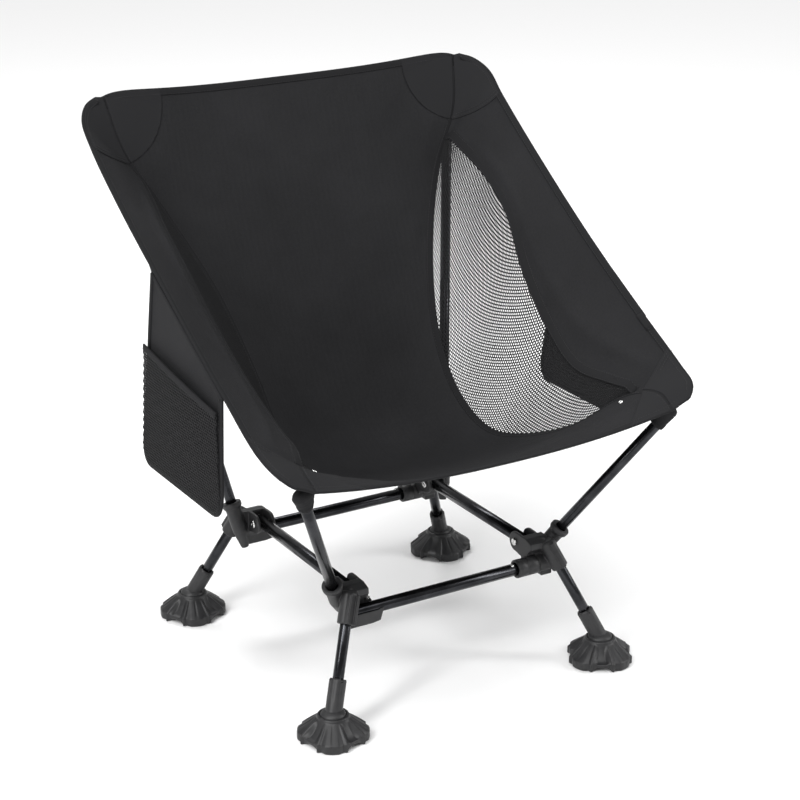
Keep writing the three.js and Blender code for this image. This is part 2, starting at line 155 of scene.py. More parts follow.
def combine(material, operation, first, second):
    made = node(material, "ShaderNodeMath")
    made.operation = operation
    for index, value in enumerate((first, second)):
        if isinstance(value, (int, float)):
            made.inputs[index].default_value = value
        else:
            link(material, value, made.inputs[index])
    return made.outputs["Value"]


def bump(material, shader, height, strength, distance):
    made = node(material, "ShaderNodeBump", Strength=strength, Distance=distance)
    link(material, height, made.inputs["Height"])
    link(material, made.outputs["Normal"], shader.inputs["Normal"])


def wave(material, vector, scale, direction, distortion):
    made = node(material, "ShaderNodeTexWave", Scale=scale, Distortion=distortion)
    made.bands_direction = direction
    link(material, vector, made.inputs["Vector"])
    return made.outputs["Fac"]


def cloth_material(name, dark, light, yarn=1100.0, ribs=0.0):
    """A plain weave of fine yarns with slubs and faint rubbed patches."""
    material, shader = principled(name, Roughness=0.88, Specular_IOR_Level=0.18)
    vector = node(material, "ShaderNodeUVMap").outputs["UV"]
    warp = wave(material, vector, yarn, "X", 0.6)
    weft = wave(material, vector, yarn, "Y", 0.6)
    weave = combine(material, "MAXIMUM", warp, weft)
    patches = noise(material, vector, 9.0, 5.0)
    slubs = noise(material, vector, 320.0, 3.0)
    tone = combine(material, "ADD", combine(material, "MULTIPLY", patches, 0.62),
                   combine(material, "MULTIPLY", slubs, 0.38))
    link(material, ramp(material, tone, dark, light, 0.32, 0.7), shader.inputs["Base Color"])
    link(material, span(material, patches, 0.74, 0.9), shader.inputs["Roughness"])
    height = combine(material, "ADD", weave, combine(material, "MULTIPLY", slubs, 0.5))
    if ribs:
        rib = wave(material, vector, ribs, "X", 0.4)
        height = combine(material, "ADD", height, combine(material, "MULTIPLY", rib, 1.6))
    bump(material, shader, height, 0.35, 0.0004)
    return material


def grained(name, tones, cloud, grain, relief, rough=None, **values):
    """A material that clouds between two tones, with a fine grain raised on it.

    cloud and grain are each a noise's scale and detail, relief is a bump's strength and depth,
    and rough is the range of roughness that the clouds run through.
    """
    material, shader = principled(name, **values)
    place = node(material, "ShaderNodeTexCoord").outputs["Object"]
    tone = noise(material, place, *cloud)
    height = tone if grain == cloud else noise(material, place, *grain)
    link(material, ramp(material, tone, *tones), shader.inputs["Base Color"])
    if rough:
        link(material, span(material, tone, *rough), shader.inputs["Roughness"])
    bump(material, shader, height, *relief)
    return material


def tube_material():
    """Black anodised aluminium, rubbed a little, with a very fine grain."""
    return grained("anodised_black", ((0.022, 0.0225, 0.025), (0.045, 0.046, 0.05)),
                   (45.0, 6.0), (900.0, 2.0), (0.08, 0.0001), (0.19, 0.27),
                   Metallic=0.95, Roughness=0.22)


def plastic_material(name, dark, light, gloss):
    """Glass-filled nylon with a fine spark-eroded grain and paler rubbed patches."""
    return grained(name, (dark, light), (60.0, 4.0), (1400.0, 2.0), (0.22, 0.00015),
                   (gloss - 0.06, gloss + 0.08), Roughness=gloss, Specular_IOR_Level=0.36)


def steel_material():
    """Bright steel with fine scratches."""
    scratches = (700.0, 6.0)
    return grained("rivet_steel", ((0.55, 0.55, 0.54), (0.78, 0.78, 0.77)),
                   scratches, scratches, (0.1, 0.00008), Metallic=1.0, Roughness=0.24)


def thread_material(name, dark, light):
    """Twisted yarn, for nets, stitches and the cords' sheath."""
    twist = (1600.0, 3.0)
    return grained(name, (dark, light), twist, twist, (0.3, 0.0002),
                   Roughness=0.8, Specular_IOR_Level=0.22)


CLOTH = cloth_material("seat_weave", (0.0105, 0.0105, 0.0115), (0.019, 0.019, 0.0205))
PANEL = cloth_material("panel_weave", (0.0115, 0.0115, 0.0125), (0.0205, 0.0205, 0.022), ribs=40.0)
BINDING = cloth_material("binding_weave", (0.008, 0.008, 0.009), (0.014, 0.014, 0.015), yarn=700.0)
NET = thread_material("net_yarn", (0.006, 0.006, 0.0065), (0.013, 0.013, 0.014))
THREAD = thread_material("stitch_yarn", (0.02, 0.02, 0.021), (0.045, 0.045, 0.047))
CORD = thread_material("cord_sheath", (0.02, 0.02, 0.021), (0.07, 0.07, 0.07))
TUBE = tube_material()
HUB = plastic_material("hub_nylon", (0.017, 0.017, 0.018), (0.027, 0.027, 0.028), 0.46)
FOOT = plastic_material("foot_nylon", (0.014, 0.014, 0.015), (0.024, 0.024, 0.025), 0.42)
STEEL = steel_material()


# ---------------- mesh building
def placed(name, data):
    """A new object in the scene, for a mesh, a light or the camera."""
    thing = bpy.data.objects.new(name, data)
    bpy.context.scene.collection.objects.link(thing)
    return thing


def make(name, points, faces, material, sx=1, sy=1, uvs=None):
    """An object from points in millimetres measured from the middle of the feet."""
    points = np.array(points, float) * [sx, sy, 1] + [0, FRAME_Y, 0]
    if sx * sy < 0:
        faces = [tuple(reversed(face)) for face in faces]
    mesh = bpy.data.meshes.new(name)
    mesh.from_pydata((points * MM).tolist(), [], [tuple(int(i) for i in f) for f in faces])
    if uvs is not None:
        layer = mesh.uv_layers.new(name="cut")
        index = np.zeros(len(mesh.loops), int)
        mesh.loops.foreach_get("vertex_index", index)
        layer.data.foreach_set("uv", (np.array(uvs, float)[index] * MM).ravel())
    mesh.update()
    mesh.shade_smooth()
    mesh.materials.append(material)
    return placed(name, mesh)


def finish_piece(thing, body, *nodes, slot=None):
    """Sets a piece on its body, in place of the CAD nodes named. slot is not used."""
    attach(thing, body)
    if nodes:
        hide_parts(*nodes)
    return thing


def piece(name, shape, material, sx, sy, body, *nodes):
    """Makes and finishes a rigid piece from a shape's points and faces."""
    return finish_piece(make(name, *shape, material, sx, sy), body, *nodes)


def lathe(profile, sides=48):
    """Turns [radius, height] pairs about +Z. A closed profile repeats its first pair."""
    closed = profile[0] == profile[-1]
    rings = profile[:-1] if closed else profile
    points = []
    starts = []
    for radius, height in rings:
        starts.append(len(points))
        if radius < 1e-6:
            points.append((0, 0, height))
        else:
            for i in range(sides):
                angle = 2 * math.pi * i / sides
                points.append((radius * math.cos(angle), radius * math.sin(angle), height))
    faces = []
    count = len(rings)
    for k in range(count if closed else count - 1):
        a, b = k, (k + 1) % count
        pole_a, pole_b = rings[a][0] < 1e-6, rings[b][0] < 1e-6
        for i in range(sides):
            j = (i + 1) % sides
            if pole_a:
                faces.append((starts[a], starts[b] + j, starts[b] + i))
            elif pole_b:
                faces.append((starts[a] + i, starts[a] + j, starts[b]))
            else:
                faces.append((starts[a] + i, starts[a] + j, starts[b] + j, starts[b] + i))
    return np.array(points, float), faces


def along(shape, start, direction):
    """Stands a shape made about +Z at start, pointing along direction."""
    points, faces = shape
    turn = Vector((0, 0, 1)).rotation_difference(Vector(direction)).to_matrix()
    return points @ np.array(turn).T + np.array(start), faces


def unit(vector):
    vector = np.array(vector, float)
    return vector / np.linalg.norm(vector)


def tube_profile(outer, inner, low, high):
    edge = 0.35
    return [
        (outer - edge, low), (outer, low + edge), (outer, high - edge), (outer - edge, high),
        (inner, high), (inner, low), (outer - edge, low),
    ]


def sphere_profile(radius, low_angle, high_angle, steps, height=0.0):
    """Part of a ball's profile, by angles from straight down, in degrees."""
    angles = np.radians(np.linspace(low_angle, high_angle, steps))
    return [(radius * math.sin(a), height - radius * math.cos(a)) for a in angles]


def shell(points, faces, thickness, lift=0.0):
    """Closes an open surface into a thin solid. lift moves it along its own normals first."""
    points = np.array(points, float)
    normals = np.zeros_like(points)
    for face in faces:
        corner = points[list(face)]
        spread = np.cross(corner[1] - corner[0], corner[-1] - corner[0])
        if len(face) > 3:
            spread = spread + np.cross(corner[3] - corner[2], corner[1] - corner[2])
        for index in face:
            normals[index] += spread
    normals /= np.maximum(np.linalg.norm(normals, axis=1), 1e-9)[:, None]
    top = points + normals * (lift + thickness / 2)
    bottom = points + normals * (lift - thickness / 2)
    count = len(points)
    used = dict.fromkeys(edge for face in faces for edge in zip(face, face[1:] + face[:1]))
    walls = [(b, a, a + count, b + count) for a, b in used if (b, a) not in used]
    under = [tuple(i + count for i in reversed(face)) for face in faces]
    return np.vstack([top, bottom]), [tuple(f) for f in faces] + under + walls


def grid_faces(rows, columns, wrap=False):
    faces = []
    for i in range(rows - 1):
        for j in range(columns if wrap else columns - 1):
            k = (j + 1) % columns
            faces.append((i * columns + j, i * columns + k,
                          (i + 1) * columns + k, (i + 1) * columns + j))
    return faces


def merged(*shapes):
    points, faces, start = [], [], 0
    for shape_points, shape_faces in shapes:
        points.append(np.array(shape_points, float))
        faces += [tuple(i + start for i in face) for face in shape_faces]
        start += len(shape_points)
    return np.vstack(points), faces


def sweep(section, path, across, up):
    """Carries a closed section of [across, up] pairs along a path of points."""
    section = np.array(section, float)
    points = (np.array(path)[:, None, :]
              + section[None, :, 0, None] * np.array(across)[:, None, :]
              + section[None, :, 1, None] * np.array(up)[:, None, :])
    rows, columns = len(path), len(section)
    faces = grid_faces(rows, columns, wrap=True)
    faces.append(tuple(reversed(range(columns))))
    faces.append(tuple(range((rows - 1) * columns, rows * columns)))
    return points.reshape(-1, 3), faces


def rounded(width, height, steps):
    """A flat section with round edges, anticlockwise."""
    radius = min(width, height) / 2
    points = []
    for centre, start in ((width / 2 - radius, -90), (radius - width / 2, 90)):
        for i in range(steps + 1):
            angle = math.radians(start + 180 * i / steps)
            points.append((centre + radius * math.cos(angle), radius * math.sin(angle)))
    return points


def block(low, high):
    (x0, y0, z0), (x1, y1, z1) = low, high
    points = [(x, y, z) for z in (z0, z1) for y in (y0, y1) for x in (x0, x1)]
    faces = [(0, 2, 3, 1), (4, 5, 7, 6), (0, 1, 5, 4), (2, 6, 7, 3), (0, 4, 6, 2), (1, 3, 7, 5)]
    return np.array(points, float), faces


def prism(outline, low, high, axis="x"):
    """Extrudes an anticlockwise outline. About x it holds [y, z] pairs, about y [z, x] pairs."""
    place = {"x": lambda a, b, d: (d, a, b), "y": lambda a, b, d: (b, d, a)}[axis]
    count = len(outline)
    points = [place(a, b, d) for d in (low, high) for a, b in outline]
    faces = [tuple(reversed(range(count))), tuple(range(count, 2 * count))]
    faces += [(i, (i + 1) % count, (i + 1) % count + count, i + count) for i in range(count)]
    return np.array(points, float), faces


def rod(radius, low, high, sides=32):
    return lathe([(0, low), (radius, low), (radius, high), (0, high)], sides)


VOXEL = 0.62
SMOOTHINGS = 7


def moulded(name, shapes, cutters, material, sx, sy):
    """Joins the shapes, cuts the cutters out and softens every edge as a moulding has."""
    thing = make(name, *merged(*shapes), material, sx, sy)
    tool = make(name + "_tool", *merged(*cutters), material, sx, sy)
    cut = thing.modifiers.new("cut", "BOOLEAN")
    cut.operation, cut.solver, cut.use_self, cut.object = "DIFFERENCE", "EXACT", True, tool
    remesh = thing.modifiers.new("remesh", "REMESH")
    remesh.mode, remesh.voxel_size = "VOXEL", VOXEL * MM
    view = bpy.context.evaluated_depsgraph_get()
    solid = bpy.data.meshes.new_from_object(thing.evaluated_get(view))
    thing.modifiers.clear()
    thing.data = solid
    bpy.data.objects.remove(tool)
    shape = bmesh.new()
    shape.from_mesh(thing.data)
    for _ in range(SMOOTHINGS):
        bmesh.ops.smooth_vert(shape, verts=shape.verts, factor=0.5,
                              use_axis_x=True, use_axis_y=True, use_axis_z=True)
    shape.to_mesh(thing.data)
    shape.free()
    thing.data.shade_smooth()
    thing.data.materials.clear()
    thing.data.materials.append(material)
    return thing


# ---------------- tubes
POLE_START = 0.4 - SOCKET_DEPTH
LEG_START = 17.5
LEG_INTO_HUB = 4.5
JOINT_GAP = 0.15
FERRULE_HALF = 40
CORD_TURN = 1.1


def tube(name, start, direction, radius, low, high, sx, sy, body, replaced):
    profile = tube_profile(radius, radius - WALL, low, high)
    return piece(name, along(lathe(profile, 64), start, direction), TUBE, sx, sy, body, replaced)


def cap_profile(end):
    return [(0, end - 12), (5.1, end - 12), (5.1, end + 0.3), (6.2, end + 0.3), (6.5, end + 0.6),
            (6.4, end + 2.2), (5.7, end + 3.4), (4.5, end + 4), (2, end + 4.35), (0, end + 4.4)]


def plug_profile(end):
    return [(0, 88), (6.1, 88), (6.1, end + 0.3), (7.1, end + 0.3), (7.4, end + 0.6),
            (7.2, end + 1.4), (6.4, end + 1.8), (2.2, end + 1.8), (1.8, end + 1.2), (0, end + 1.2)]


def cord_profile(stop):
    """A cord from a pole's foot to just below its cap, ribbed by its braid."""
    turns = [(1.6 + 0.07 * (i % 2), POLE_START + i * CORD_TURN)
             for i in range(int((stop - 12.5 - POLE_START) / CORD_TURN))]
    return [(0, POLE_START)] + turns + [(0, turns[-1][1])]


def seated(pole):
    """The point where a pole starts, and its direction."""
    start, tip, _ = pole
    return start, unit(tip - start)


def pole_end(pole):
    """How far along its direction a pole's tube runs."""
    start, tip, cut = pole
    return np.linalg.norm(tip - start) - cut


FRONT_END = pole_end(FRONT_POLE)
REAR_END = pole_end(REAR_POLE)
POLE_TUBES = (("front_pole", FRONT_POLE, "front", POLE_START, FRONT_END),
              ("rear_pole_lower", REAR_POLE, "rear", POLE_START, REAR_JOINT - JOINT_GAP),
              ("rear_pole_upper", REAR_POLE, "rear", REAR_JOINT + JOINT_GAP, REAR_END))
RAIL = ([RAIL_X, 0, RAIL_Z], [0, 1, 0])

for side, sx in SIDES:
    for end, sy in ENDS:
        tube(f"leg_tube_{end}_{side}", BALL, LEG_AXIS, POLE_R, LEG_START,
             LEG_SPAN + LEG_INTO_HUB, sx, sy, f"leg_{end}_{side}", f"leg_{end}_{side}")
        piece(f"rail_end_plug_{end}_{side}", along(lathe(plug_profile(RAIL_HALF)), *RAIL), HUB,
              sx, sy, "side_rails", f"rail_plug_{end}_{side}")
    tube(f"rail_tube_{side}", *RAIL, BAR_R, -RAIL_HALF, RAIL_HALF, sx, 1,
         "side_rails", f"side_rail_{side}")
    for name, pole, end, low, high in POLE_TUBES:
        tube(f"{name}_tube_{side}", *seated(pole), POLE_R, low, high, sx, 1,
             f"{end}_frame", f"{name}_{side}")
    ferrule = tube_profile(POLE_R - WALL - 0.3, 4.1, REAR_JOINT - FERRULE_HALF,
                           REAR_JOINT + FERRULE_HALF)
    piece(f"rear_joint_ferrule_{side}", along(lathe(ferrule), *seated(REAR_POLE)), TUBE, sx, 1,
          "rear_frame", f"rear_pole_ferrule_{side}")
    for end, pole, stop in (("front", FRONT_POLE, FRONT_END), ("rear", REAR_POLE, REAR_END)):
        piece(f"{end}_pole_tip_{side}", along(lathe(cap_profile(stop)), *seated(pole)), HUB, sx, 1,
              f"{end}_frame", f"{end}_pole_cap_{side}")
        piece(f"{end}_elastic_{side}", along(lathe(cord_profile(stop), 16), *seated(pole)), CORD,
              sx, 1, f"{end}_frame", f"{end}_shock_cord_{side}")

for end, sy in ENDS:
    tube(f"bar_tube_{end}", [0, BAR_Y, BAR_Z], [1, 0, 0], BAR_R, -BAR_HALF, BAR_HALF, 1, sy,
         f"{end}_frame", f"cross_bar_{end}")


# ---------------- feet
# The outline of a foot has four broad lobes with two claws and a raised arch between neighbours.
# Each list pairs an angle from the middle of a lobe with a value there.
LOBE_ANGLES = [0, 11, 19.5, 25.5, 28.5, 36, 45]
LOBE_RADII = [FOOT_R, FOOT_R - 0.2, 38.4, 40.6, 37.3, 36.6, 36.4]
ARCH_ANGLES = [0, 21, 26, 29, 36, 45]
ARCH_LIFTS = [0, 0.3, 0, 1.8, 4.2, 5]
RIM_TOP = 10.2
SKIRT_TOP = (19.3, 26.6)
FOOT_TURN = {"front_left": 239, "front_right": 284, "rear_left": 252, "rear_right": 262}


def foot_shape(turn):
    columns = 240
    angles = np.arange(columns) * 2 * math.pi / columns
    bearing = np.degrees(angles) % 90
    off = np.minimum(bearing, 90 - bearing)
    radius = np.interp(off, LOBE_ANGLES, LOBE_RADII)
    lift = np.interp(off, ARCH_ANGLES, ARCH_LIFTS)
    ridge = np.exp(-((off - 23.5) / 3.0) ** 2)
    hollow = np.clip((off - 28) / 8, 0, 1)
    groove = np.exp(-(off / 2.2) ** 4)
    rows = sphere_profile(BALL_R + 0.6, 0.5, 98, 14, BALL[2])
    rows += [(15.8, 29.9), (17.2, 29.9), (18.1, 29.3), (18.6, 28.4), (18.8, 27.4)]
    top_r, top_z = SKIRT_TOP
    rim_top = RIM_TOP - 1.6 * hollow
    for t in np.linspace(0, 1, 16):
        bulge = math.sin(math.pi * min(t * 1.05, 1)) ** 0.7
        z = top_z + (rim_top - top_z) * t
        z = z + 1.0 * ridge * bulge - 4.4 * hollow * bulge - 0.9 * groove * bulge
        rows.append((top_r + (radius - 0.5 - top_r) * t, z))
    rows += [
        (radius - 0.1 - 0.6 * groove, rim_top - 0.7),
        (radius - 0.6 * groove, rim_top - 2.0),
        (radius, lift + 1.6), (radius - 0.3, lift + 0.5), (radius - 1.0, lift),
        (radius - 3.0, lift), (radius - 3.6, lift + 0.6), (radius - 4.6, lift + 3.2),
        (27.0, 5.6), (18.0, 8.0), (13.0, 9.0), (5.0, 9.6), (0.4, 9.7),
    ]
    heading = angles + math.radians(turn)
    points = np.vstack([
        np.column_stack([r * np.cos(heading), r * np.sin(heading), np.full(columns, z)])
        for r, z in rows])
    faces = grid_faces(len(rows), columns, wrap=True)
    faces.append(tuple(reversed(range(columns))))
    last = (len(rows) - 1) * columns
    faces.append(tuple(range(last, last + columns)))
    return points, [tuple(reversed(face)) for face in faces]


SLEEVE_TOP = 41.5
DOME = 0.5  # how much of its height the ball keeps above the rim of the cup
CUP_RIM = 29.7
SLEEVE_R = 10.0


def sleeve_shape():
    top = SLEEVE_TOP
    profile = [(0, -2), (SLEEVE_R, -2)]
    profile += [(SLEEVE_R, z) for z in np.linspace(0, top - 3, 14)]
    profile += [(SLEEVE_R, top - 1.8), (9.7, top - 1.2), (9.3, top - 1), (9.2, top - 0.2),
                (9.0, top), (7.1, top), (6.8, top - 0.4), (6.8, 17.2), (0, 17.2)]
    sides = 72
    points, faces = lathe(profile, sides)
    angle = np.arctan2(points[:, 1], points[:, 0])
    radius = np.hypot(points[:, 0], points[:, 1])
    notch = np.clip(4 * np.cos(4 * angle) - 2.4, 0, 1)
    body = (points[:, 2] > 15) & (points[:, 2] < top - 1.5) & (radius > 9)
    points[body, :2] *= (1 - 0.035 * np.clip(3 * np.cos(8 * angle[body]) - 1.6, 0, 1))[:, None]
    crown = (points[:, 2] > top - 2.5) & (radius > 6.9)
    points[crown, 2] -= 1.9 * notch[crown]
    return points, faces


for side, sx in SIDES:
    for end, sy in ENDS:
        points, faces = foot_shape(FOOT_TURN[f"{end}_{side}"])
        points = points + [sx * BALL[0], sy * BALL[1], 0]
        piece(f"foot_pad_{end}_{side}", (points, faces), FOOT, 1, 1,
              f"foot_{end}_{side}", f"foot_{end}_{side}")
        ball, ball_faces = along(lathe(sphere_profile(BALL_R, 0, 180, 36), 72), BALL, LEG_AXIS)
        above = np.maximum(ball[:, 2] - CUP_RIM, 0)
        ball[:, 2] -= (1 - DOME) * above
        sleeve = merged((ball, ball_faces), along(sleeve_shape(), BALL, LEG_AXIS))
        piece(f"ball_sleeve_{end}_{side}", sleeve, HUB, sx, sy,
              f"leg_{end}_{side}", f"foot_sleeve_{end}_{side}")


# ---------------- hubs
CHEEK_R = 12.5
CLEVIS_HALF = 11.8
CLEVIS_GAP_HALF = 7.9
CHEEK_OUT = RAIL_X - CLEVIS_HALF
CHEEK_IN = RAIL_X + CLEVIS_HALF
CORE_REACH = {"front": 141, "rear": 149}
RIVET_BORE = 2.8
SADDLE_DEPTH = 14.2
COLLAR_R = 11.2


def arc(centre_y, centre_z, radius, start, stop):
    angles = np.radians(np.linspace(start, stop, 18))
    return [(centre_y + radius * math.cos(a), centre_z + radius * math.sin(a)) for a in angles]


def hub(end, side, sx, sy):
    """One hub: clevis, pole cup and leg socket, with a collar seat (right) or saddle (left)."""
    y, z = PIVOT_Y, RAIL_Z
    pole = FRONT_POLE if sy < 0 else REAR_POLE
    start = pole[0] * [1, sy, 1]
    direction = unit(pole[1] - pole[0]) * [1, sy, 1]
    ear = arc(y, z, CHEEK_R, 90, 270) + [(y + 20, z - 16), (y + 20, z + 11.5)]
    core = [(y + 13, z - 16), (y + 20, z - 24), (y + 27, z - 25), (y + 28, z - 6),
            (y + 35, z + 1), (y + 34, z + 7.5), (y + 23, z + 11.5), (y + 14, z + 12)]
    bulge = arc(y + 18, z - 1, 11.5, 90, 270) + [(y + 30, z - 12.5), (y + 30, z + 10.5)]
    low, high = LEG_SPAN - 29, LEG_SPAN + 9
    socket = lathe([(0, low), (9.6, low), (10.3, low + 0.8), (10.3, high - 3), (8, high),
                    (0, high)], 40)
    mouth = SOCKET_MOUTH
    cup = lathe([(0, -34), (4.5, -34), (9.1, -12), (9.7, mouth - 9), (12, mouth - 6),
                 (12.2, mouth - 0.8), (11.6, mouth), (0, mouth)], 40)
    shapes = [prism(ear, CHEEK_OUT, CHEEK_IN), prism(core, CHEEK_OUT, CORE_REACH[end]),
              prism(bulge, CHEEK_IN - 3.9, CHEEK_IN),
              along(socket, BALL, LEG_AXIS), along(cup, start, direction)]
    ribs = (0,) if side == "right" else (-5.2, 5.2)
    for across in ribs:
        width, proud = (3.6, 12.0) if side == "right" else (1.7, 13.4)
        rib = block((across - width, 6, low), (across + width, proud, high - 4))
        shapes.append(along(rib, BALL, LEG_AXIS))
    bar = [0, BAR_Y, BAR_Z]
    cutters = [
        block((RAIL_X - CLEVIS_GAP_HALF, 80, 100), (RAIL_X + CLEVIS_GAP_HALF, y + 12.5, 180)),
        along(rod(RIVET_BORE, 90, 160), [0, y, z], [1, 0, 0]),
        along(rod(POLE_BORE, LEG_SPAN - 40, LEG_SPAN + 5), BALL, LEG_AXIS),
        along(rod(POLE_BORE, -SOCKET_DEPTH, mouth + 5), start, direction),
        along(rod(BAR_BORE, 80, BAR_HALF + 0.4), bar, [1, 0, 0]),
        block((114.2, y + 38, z - 9), (117.6, y + 46, z + 4)),
        block((120.6, y + 37, z - 9), (123.4, y + 46, z + 4)),
    ]
    if side == "right":
        shapes.append(along(rod(10.8, 122.6, 141, 40), bar, [1, 0, 0]))
        shapes.append(block((127, BAR_Y - 6.5, BAR_Z - 14.5), (142, BAR_Y + 6.5, BAR_Z)))
        cutters.append(along(rod(COLLAR_R + 0.4, 80, 122.7, 40), bar, [1, 0, 0]))
    else:
        foot_z = BAR_Z - SADDLE_DEPTH
        shapes.append(prism([(foot_z, 99), (BAR_Z + 1.5, 94), (BAR_Z + 1.5, 140),
                             (foot_z - 1.5, 140), (foot_z - 1.5, 110)],
                            BAR_Y - 9.6, BAR_Y + 9.6, "y"))
        shapes.append(prism([(z + 5, 113), (BAR_Z, 113), (BAR_Z, 97)],
                            y + 14, y + 18, "y"))
        cutters.append(block((80, BAR_Y - BAR_R - 0.4, BAR_Z),
                             (112, BAR_Y + BAR_R + 0.4, BAR_Z + 30)))
        cutters.append(block((100, BAR_Y - BAR_R - 0.4, BAR_Z),
                             (BAR_HALF, BAR_Y + 20, BAR_Z + 13)))
        cutters.append(along(rod(1.5, -5, 60, 20), [118.5, y, z + 8], [0, 0.85, 0.53]))
    body = moulded(f"hub_body_{end}_{side}", shapes, cutters, HUB, sx, sy)
    return finish_piece(body, f"{end}_frame", f"hub_{end}_{side}")


def screw_head(radius):
    """The profile of a small pan head with a round recess."""
    return [(0, -2), (radius, -2), (radius, -0.1), (radius * 0.85, 0.35), (radius * 0.52, 0.55),
            (radius * 0.45, 0.2), (radius * 0.55, -0.3), (radius * 0.55, -1.2), (0, -1.2)]


def rivet_shape():
    return along(lathe([
        (0, 109.5), (1.6, 109.5), (1.9, 109.2), (3.4, 109.2), (4.3, 109.7), (4.7, 110.6),
        (4.7, 111.4), (2.4, 111.6), (2.4, 136.1), (4.7, 136.3), (4.7, 137.1), (4.3, 138.0),
        (3.4, 138.4), (1.9, 138.4), (1.6, 138.1), (0, 138.1)], 40),
        [0, PIVOT_Y, RAIL_Z], [1, 0, 0])


for end, sy in ENDS:
    for side, sx in SIDES:
        hub(end, side, sx, sy)
        piece(f"rivet_pin_{end}_{side}", rivet_shape(), STEEL, sx, sy,
              f"{end}_frame", f"rivet_{end}_{side}")
    screw = along(lathe(screw_head(2.6), 28), [105, PIVOT_Y + 19.6, RAIL_Z - 12], [0, 1, 0])
    piece(f"saddle_screw_{end}", screw, STEEL, -1, sy, f"{end}_frame")
    lip = [(BAR_BORE, 93), (10.2, 93), (COLLAR_R, 93.9), (COLLAR_R, 106.6), (10.7, 107),
           (10.7, 107.8), (COLLAR_R, 108.2), (COLLAR_R, 121.5), (10.7, 122.1),
           (BAR_BORE, 122.1), (BAR_BORE, 93)]
    piece(f"collar_{end}", along(lathe(lip, 64), [0, BAR_Y, BAR_Z], [1, 0, 0]), HUB, 1, sy,
          f"{end}_frame", f"bar_collar_{end}")
    button = lathe([(0, 0), (2.3, 0), (2.3, 8.3), (1.9, 8.9), (0.8, 9.1), (0, 9.1)], 24)
    piece(f"spring_button_{end}", along(button, [87.5, BAR_Y, BAR_Z], [0, 0.3, 0.95]), STEEL,
          1, sy, f"{end}_frame")


# ---------------- the hung surface
# Four lines run from front to back over the right half of the seat, the first along its middle.
MIDDLE_POINTS = [
    (0, -240, 316), (0, -170, 282), (0, -100, 253), (0, -30, 233), (0, 30, 228), (0, 75, 243),
    (0, 112, 288), (0, 150, 362), (0, 200, 474), (0, 238, 575), (0, 264, 657)]
PANEL_SEAM_POINTS = [
    (236, -243, 331), (236, -215, 345), (221, -180, 338), (172, -135, 292), (142, -80, 267),
    (129, -20, 256), (127, 50, 281), (130, 105, 343), (152, 158, 432), (193, 210, 524),
    (232, 233, 597), (245, 256, 661.5)]
WING_SEAM_POINTS = [
    (226, -186, 346), (211, -146, 347), (202, -95, 350), (206, -25, 387), (214, 35, 435),
    (225, 90, 494), (226, 140, 529), (219, 200, 560), (217, 229, 571)]
OUTER_EDGE_POINTS = [
    (257, -243, 340), (273, -228, 354), (279, -195, 368), (280, -120, 409), (281, 0, 480),
    (284, 120, 557), (284.5, 200, 615), (282.5, 228, 641), (270, 246, 655), (252, 257, 661)]
NET_FROM, NET_TO = -180, 224
EDGE_FROM, EDGE_TO = -242.5, 255.5
CROWN, CROWN_FROM = 9, 225
# Each is a share of the width between the two lines. A negative bow rises.
WING_BOW, NET_BOW = -0.03, 0.04


LINE_STEPS = 40


def smooth_line(points):
    """A dense centripetal Catmull-Rom curve through the points."""
    points = np.array(points, float)
    points = np.vstack([2 * points[0] - points[1], points, 2 * points[-1] - points[-2]])
    dense = []
    for a, b, c, d in zip(points, points[1:], points[2:], points[3:]):
        gaps = [np.linalg.norm(q - p) ** 0.5 for p, q in ((a, b), (b, c), (c, d))]
        knots = np.cumsum([0] + gaps)
        t = np.linspace(knots[1], knots[2], LINE_STEPS, endpoint=False)[:, None]

        def mix(p, q, low, high):
            return ((high - t) * p + (t - low) * q) / (high - low)

        first, second, third = (mix(a, b, knots[0], knots[1]), mix(b, c, knots[1], knots[2]),
                                mix(c, d, knots[2], knots[3]))
        dense.append(mix(mix(first, second, knots[0], knots[2]),
                         mix(second, third, knots[1], knots[3]), knots[1], knots[2]))
    return np.vstack(dense + [points[-2:-1]])


MIDDLE, PANEL_SEAM, WING_SEAM, OUTER_EDGE = (
    smooth_line(p) for p in (MIDDLE_POINTS, PANEL_SEAM_POINTS, WING_SEAM_POINTS,
                             OUTER_EDGE_POINTS))


def at(line, y):
    """The points of a line at the given depths."""
    y = np.atleast_1d(np.array(y, float))
    return np.column_stack([np.interp(y, line[:, 1], line[:, 0]), y,
                            np.interp(y, line[:, 1], line[:, 2])])


def edge_depth(y):
    return np.clip(y, EDGE_FROM, EDGE_TO)


def ease(t):
    t = np.clip(t, 0, 1)
    return t * t * (3 - 2 * t)


def wing_inner(y):
    """The inner edge of the wing: the mesh seam, running out into the panel seam at its ends."""
    y = edge_depth(y)
    share = (ease((y - NET_FROM + 9) / 18) * ease((NET_TO + 5 - y) / 14))[:, None]
    seam = at(WING_SEAM, np.clip(y, -186, 229))
    seam[:, 1] = y
    return at(PANEL_SEAM, y) * (1 - share) + seam * share


def arc_length(points):
    return np.concatenate([[0], np.cumsum(np.linalg.norm(np.diff(points, axis=0), axis=1))])


def even_depths(count):
    lengths = arc_length(MIDDLE)
    return np.interp(np.linspace(0, lengths[-1], count), lengths, MIDDLE[:, 1])


